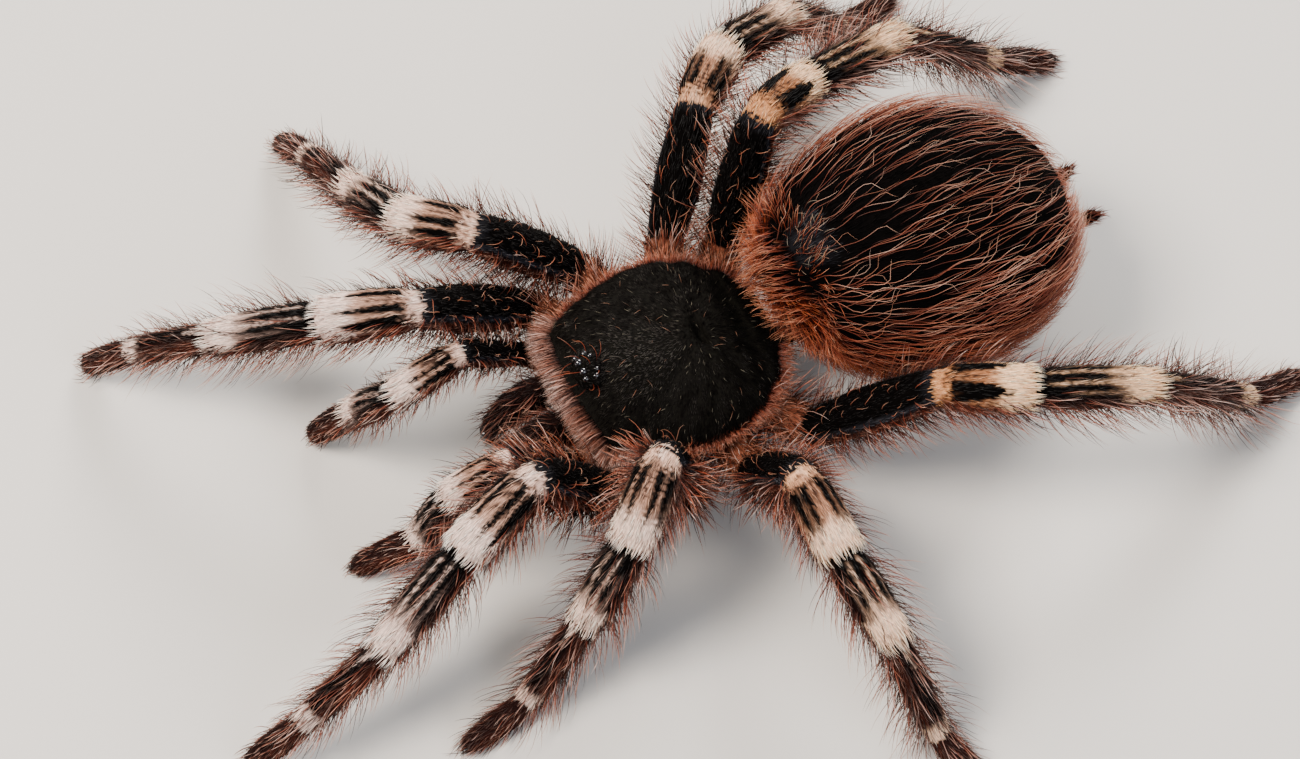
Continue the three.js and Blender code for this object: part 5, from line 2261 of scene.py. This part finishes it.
    def soft_body(self, fleece: Fleece, dice: Dice) -> None:
        """Grows orange-brown hair between the hips and the carapace and on the waist, and pile below.

        Args:
            fleece: the piece to add to.
            dice: the random generator.
        """
        core = Sheet(self.prosoma.place_hip(self.prosoma.core_grid()))
        stalk = Sheet(self.body.stalk_grid())
        under = plant(core, self.hide, 5.0, dice)
        under = under.keep(under.normal[:, 2] < -0.2)
        short = Habit((0.9, 1.8), 0.16, (18.0, 44.0), (-24.0, -4.0), splay=24.0, flat=0.5)
        fleece.grow(under, short, blend(Dye.BLACK, Dye.UMBER, dice)(under), dice, strip=4)
        fluff = Habit((2.2, 4.8), 0.11, (40.0, 84.0), (-40.0, 0.0), 26.0, rings=4, flat=0.8, taper=2.6)
        for strip, sheet, lowest in ((4, core, -0.35), (5, stalk, -math.inf)):
            plot = plant(sheet, self.hide, 2.2, dice)
            painter, clear = blend(Dye.RUST, Dye.EMBER, dice), partial(self.clear, lowest=lowest)
            fleece.grow(plot, fluff, painter, dice, Lock(4, 0.35), strip, clear=clear)

    def eye_hill(self, hill: Hide, sheet: Sheet) -> None:
        """Grows black hair between the eyes and a few reddish bristles that curve over them.

        Args:
            hill: the eye hill's surface.
            sheet: the same as rings.
        """
        fleece = Fleece("coat_eye_hill", VELVET, "black_pile")
        dice = np.random.default_rng(SEED + 5)
        down = Habit((0.5, 1.1), 0.1, (14.0, 46.0), (-20.0, 0.0), splay=20.0, flat=0.6)
        bristle = replace(CURL, length=(2.0, 3.6), width=0.09, lift=(60.0, 95.0), turn=(-90.0, -40.0))
        layers = (
            # Olive hair here too, its silvery tips painted sheen.
            (22.0, -AHEAD, down, blend(Dye.BLACK, Dye.OLIVE, dice, 0.0, 0.7)),
            (0.55, AHEAD, bristle, blend(Dye.RUST, Dye.ROSEWOOD, dice)),
        )
        for per_mm2, lie, habit, painter in layers:
            plot = plant(sheet, hill, per_mm2, dice)
            plot.lie = flatten_onto(np.broadcast_to(self.prosoma.frame() @ lie, plot.lie.shape), plot.normal)
            fleece.grow(plot, habit, painter, dice)
        fleece.weave(self.placement)

    def belly(self, plate: Hide) -> None:
        """Grows short dark pile all round the sternum and bristles on its underside.

        Args:
            plate: the sternum's surface.
        """
        fleece = Fleece("coat_sternum", VELVET, "black_pile")
        dice = np.random.default_rng(SEED + 4)
        sheet = self.prosoma.sternum_sheet()
        pile = Habit((0.7, 1.3), 0.17, (18.0, 40.0), (-20.0, -4.0), splay=20.0, flat=0.5)
        fleece.grow(plant(sheet, plate, 5.0, dice), pile, blend(Dye.BLACK, Dye.UMBER, dice), dice)
        plot = plant(sheet, plate, 1.0, dice)
        plot = plot.keep(plot.normal[:, 2] < 0.2)
        bristle = replace(BRISTLE, length=(1.6, 3.2), splay=24.0, taper=2.4)
        fleece.grow(plot, bristle, blend(Dye.UMBER, Dye.RUST, dice, 0.0, 0.9), dice)
        fleece.weave(self.placement)


# ---- hard parts


@dataclass
class HardParts:
    """The plates, eyes, fangs and claws: bare or nearly bare chitin, each a piece of its own."""

    placement: Placement
    prosoma: Prosoma
    claw_length: float = 1.3
    claw_radius: float = 0.15
    claw_spread: float = 0.4  # of a leg's pair, to each side

    def finish(self, name: str, sheets: Sequence[Sheet], look: ChitinFinish, slot: str, *nodes: str) -> Hide:
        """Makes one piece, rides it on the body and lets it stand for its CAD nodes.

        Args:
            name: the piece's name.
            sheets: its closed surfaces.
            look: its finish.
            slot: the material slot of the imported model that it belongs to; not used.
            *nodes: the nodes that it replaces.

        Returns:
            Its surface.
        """
        points, corners = joined(sheets)
        mesh = mesh_from(name, self.placement.metres(points), corners)
        thing = new_object(name, mesh, look.material())
        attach(thing, "root")
        if nodes:
            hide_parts(*nodes)
        log.info("%s: %d triangles", name, len(corners))
        return Hide.of(points, corners)

    def carapace(self) -> Hide:
        """The head shield with its fovea and furrows."""
        return self.finish("carapace_shell", [self.prosoma.dressed_shell()], SHELL, "shell_pile", "carapace")

    def sternum(self) -> Hide:
        """The breast plate."""
        return self.finish("sternum_plate", [self.prosoma.sternum_sheet()], SHELL, "black_pile", "sternum")

    def eyes(self) -> tuple[Hide, Sheet]:
        """The eye hill and eight lenses: the front middle pair round, the others oval, in two rows.

        Returns:
            The hill's surface and its sheet, for the hair between the eyes.
        """
        front = self.prosoma
        wide, deep, high = front.eye_mound
        base = np.array([0.0, front.eye_row, front.dome * 0.95 + front.caput * 0.75 - 0.4])
        mound = Sheet(front.place(self.ball(base, front.eye_mound, 40, 28)))
        hill = self.finish("eye_hill", [mound], SHELL, "black_horn", "eyes")
        lenses = []
        for x, y, radius in front.eye_places:
            rise = math.sqrt(1.0 - (x / wide) ** 2 - (y / deep) ** 2)
            size = (radius, radius * (1.25 if y > 0.0 else 1.0), radius)
            for _, side in SIDES:
                middle = base + [side * x, y, rise * high - 0.2 * radius]
                lenses.append(Sheet(front.place(self.ball(middle, size, 20, 14))))
        self.finish("eye_lenses", lenses, LENS, "black_horn")
        return hill, mound

    def ball(self, middle: Array, radii: Triple, columns: int, rows: int) -> Array:
        """Rings of an ellipsoid along Y: radius sin(a) and place -cos(a).

        Args:
            middle: its middle.
            radii: its half sizes.
            columns: points round each ring.
            rows: rings from front to rear.

        Returns:
            The rings, each a row of points.
        """
        a = np.radians(np.linspace(3.0, 177.0, rows))[:, None]
        angle = circle(columns)[None, :]
        across, upward = np.sin(a) * np.sin(angle), np.sin(a) * np.cos(angle)
        return middle + np.stack([across, -np.cos(a) + 0.0 * angle, upward], axis=-1) * np.array(radii)

    def fangs(self) -> None:
        """Two polished hooks."""
        for word, side in SIDES:
            hook = Sheet(self.prosoma.place(self.prosoma.fang_grid(side)))
            self.finish(f"fang_horn_{word}", [hook], HORN, "black_horn", f"fang_{word}")

    def claws(self, limbs: Sequence[Limb]) -> None:
        """Two small hooks at the end of each leg and one on each palp, half hidden in the foot's hair.

        Args:
            limbs: the legs and palps.
        """
        t = np.linspace(0.0, 1.0, 12)
        sheets = []
        for limb in limbs:
            across = limb.across[-1]
            level = unit(limb.along[-1] * [1.0, 1.0, 0.0])
            for offset in (0.0,) if limb.is_palp() else (-self.claw_spread, self.claw_spread):
                start = limb.centre[-1] - 0.5 * level + offset * across + 0.55 * UP
                drop = UP * (0.35 * np.sin(2.2 * t) - 0.75 * t**2)[:, None]
                centre = start + self.claw_length * t[:, None] * level + drop
                centre[:, 2] = np.maximum(centre[:, 2], 0.14)
                sheets.append(Sheet(tube(centre, self.claw_radius * (1.0 - 0.8 * t), across, UP, circle(8))))
        self.finish("claws", sheets, HORN, "black_horn")


# ---- studio


@dataclass(frozen=True)
class Studio:
    """A pale floor, soft lights and the camera."""

    azimuth: float = 66.0
    elevation: float = 60.0
    roll: float = 1.0
    distance: float = 584.0  # mm
    slide: Pair = (-2.75, 3.07)  # mm the camera moves right and up, to frame the animal
    lens: float = 133.4
    sensor: float = 36.0
    floor_size: float = 3.0  # m

    def aim(self, placement: Placement) -> None:
        """Sets the camera over the animal's left front side, looking down.

        Args:
            placement: where the animal stands.
        """
        az, el = math.radians(self.azimuth), math.radians(self.elevation)
        back = Vector((math.sin(az) * math.cos(el), -math.cos(az) * math.cos(el), math.sin(el)))
        right = Vector((math.cos(az), math.sin(az), 0.0))
        up = back.cross(right)
        c, s = math.cos(math.radians(self.roll)), math.sin(math.radians(self.roll))
        right, up = c * right + s * up, c * up - s * right
        middle = Vector(placement.shift)
        where = (middle + back * self.distance + right * self.slide[0] + up * self.slide[1]) * MM
        data = bpy.data.cameras.new("camera")
        data.lens = self.lens
        data.sensor_width = self.sensor
        data.clip_start = 0.01
        data.clip_end = 20.0
        camera = bpy.data.objects.new("camera", data)
        bpy.context.scene.collection.objects.link(camera)
        rows = [(*axes, place) for *axes, place in zip(right, up, back, where)]
        camera.matrix_world = Matrix((*rows, (0.0, 0.0, 0.0, 1.0)))
        bpy.context.scene.camera = camera

    def floor(self) -> None:
        """Lays a matt pale sheet of paper under everything."""
        half = self.floor_size / 2.0
        corners = np.array([[-half, -half, 0.0], [half, -half, 0.0], [half, half, 0.0], [-half, half, 0.0]])
        mesh = mesh_from("floor", corners, np.array([[0, 1, 2, 3]]))
        material, tree = blank_material("paper_backdrop_matt")
        paper = {"Base Color": (*linear("#c6c3bf"), 1.0), "Roughness": 0.9, "Specular IOR Level": 0.1}
        shader = add_node(tree, "ShaderNodeBsdfPrincipled", paper)
        add_node(tree, "ShaderNodeOutputMaterial", {"Surface": shader.outputs["BSDF"]})
        new_object("floor", mesh, material)

    def lamp(self, name: str, place: Triple, size: float, power: float, colour: str) -> None:
        """Hangs a square soft light that looks at the animal.

        Args:
            name: its name.
            place: where it hangs, in metres.
            size: the length of its side in metres.
            power: its power in watts.
            colour: its colour as an sRGB hex code.
        """
        data = bpy.data.lights.new(name, "AREA")
        data.shape = "SQUARE"
        data.size = size
        data.energy = power
        data.color = linear(colour)
        lamp = bpy.data.objects.new(name, data)
        bpy.context.scene.collection.objects.link(lamp)
        lamp.location = place
        lamp.rotation_euler = (Vector((0.0, 0.0, 0.01)) - Vector(place)).to_track_quat("-Z", "Y").to_euler()

    def light(self) -> None:
        """Hangs the lights: a large key over the head, a low fill, and a rim light from behind."""
        self.lamp("key", (-0.1, -0.5, 0.8), 0.4, 20.5, "#fff3e6")
        self.lamp("fill", (0.75, 0.25, 0.45), 0.6, 5.0, "#eef4ff")
        self.lamp("rim", (-0.6, 0.5, 0.5), 0.35, 14.0, "#fdf8f2")
        world = bpy.data.worlds.new("world")
        bpy.context.scene.world = world
        world.use_nodes = True
        tree = world.node_tree
        tree.nodes.clear()
        glow = add_node(tree, "ShaderNodeBackground", {"Color": (*linear("#f4f6fa"), 1.0), "Strength": 0.56})
        add_node(tree, "ShaderNodeOutputWorld", {"Surface": glow.outputs["Background"]})


# ---- assembly


def flesh_nodes(limbs: Sequence[Limb]) -> list[str]:
    """Names the CAD nodes that the skin stands for.

    Args:
        limbs: the legs and palps.

    Returns:
        The names.
    """
    names = ["abdomen", *(f"{part}_{word}" for part in ("chelicera", "spinneret") for word, _ in SIDES)]
    for limb in limbs:
        last = "tarsus" if limb.is_palp() else "foot"
        names += [f"{limb.name}_{part}" for part in ("coxa", "femur", "patella", "tibia", last)]
    return names


def main() -> None:
    """Builds the studio, the hard parts, the skin and the coat, in that order."""
    logging.basicConfig(level=logging.INFO, format="%(relativeCreated)6d ms  %(message)s")
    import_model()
    prosoma = Prosoma()
    opisthosoma = Opisthosoma()
    marks = Markings()
    placement = Placement.from_frame(prosoma.place(replace(prosoma, bow=0.0).shell_grid(17, 24)))
    log.info("shift %s", placement.shift)
    limbs = make_limbs(prosoma)

    studio = Studio()
    studio.aim(placement)
    studio.floor()
    studio.light()

    hard = HardParts(placement, prosoma)
    shell = hard.carapace()
    plate = hard.sternum()
    hill, mound = hard.eyes()
    hard.fangs()
    hard.claws(limbs)

    skin, hide = Skin(placement, limbs, prosoma, opisthosoma, marks).build()
    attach(skin, "root")
    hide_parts(*flesh_nodes(limbs))

    coat = Coat(placement, prosoma, opisthosoma, hide, marks)
    coat.limbs("coat_palps", [limb for limb in limbs if limb.is_palp()])
    for limb in limbs:
        if not limb.is_palp():
            coat.limbs(f"coat_{limb.name}", [limb])
    coat.abdomen()
    coat.carapace(shell)
    coat.eye_hill(hill, mound)
    coat.head()
    coat.belly(plate)


if __name__ == "__main__":
    main()
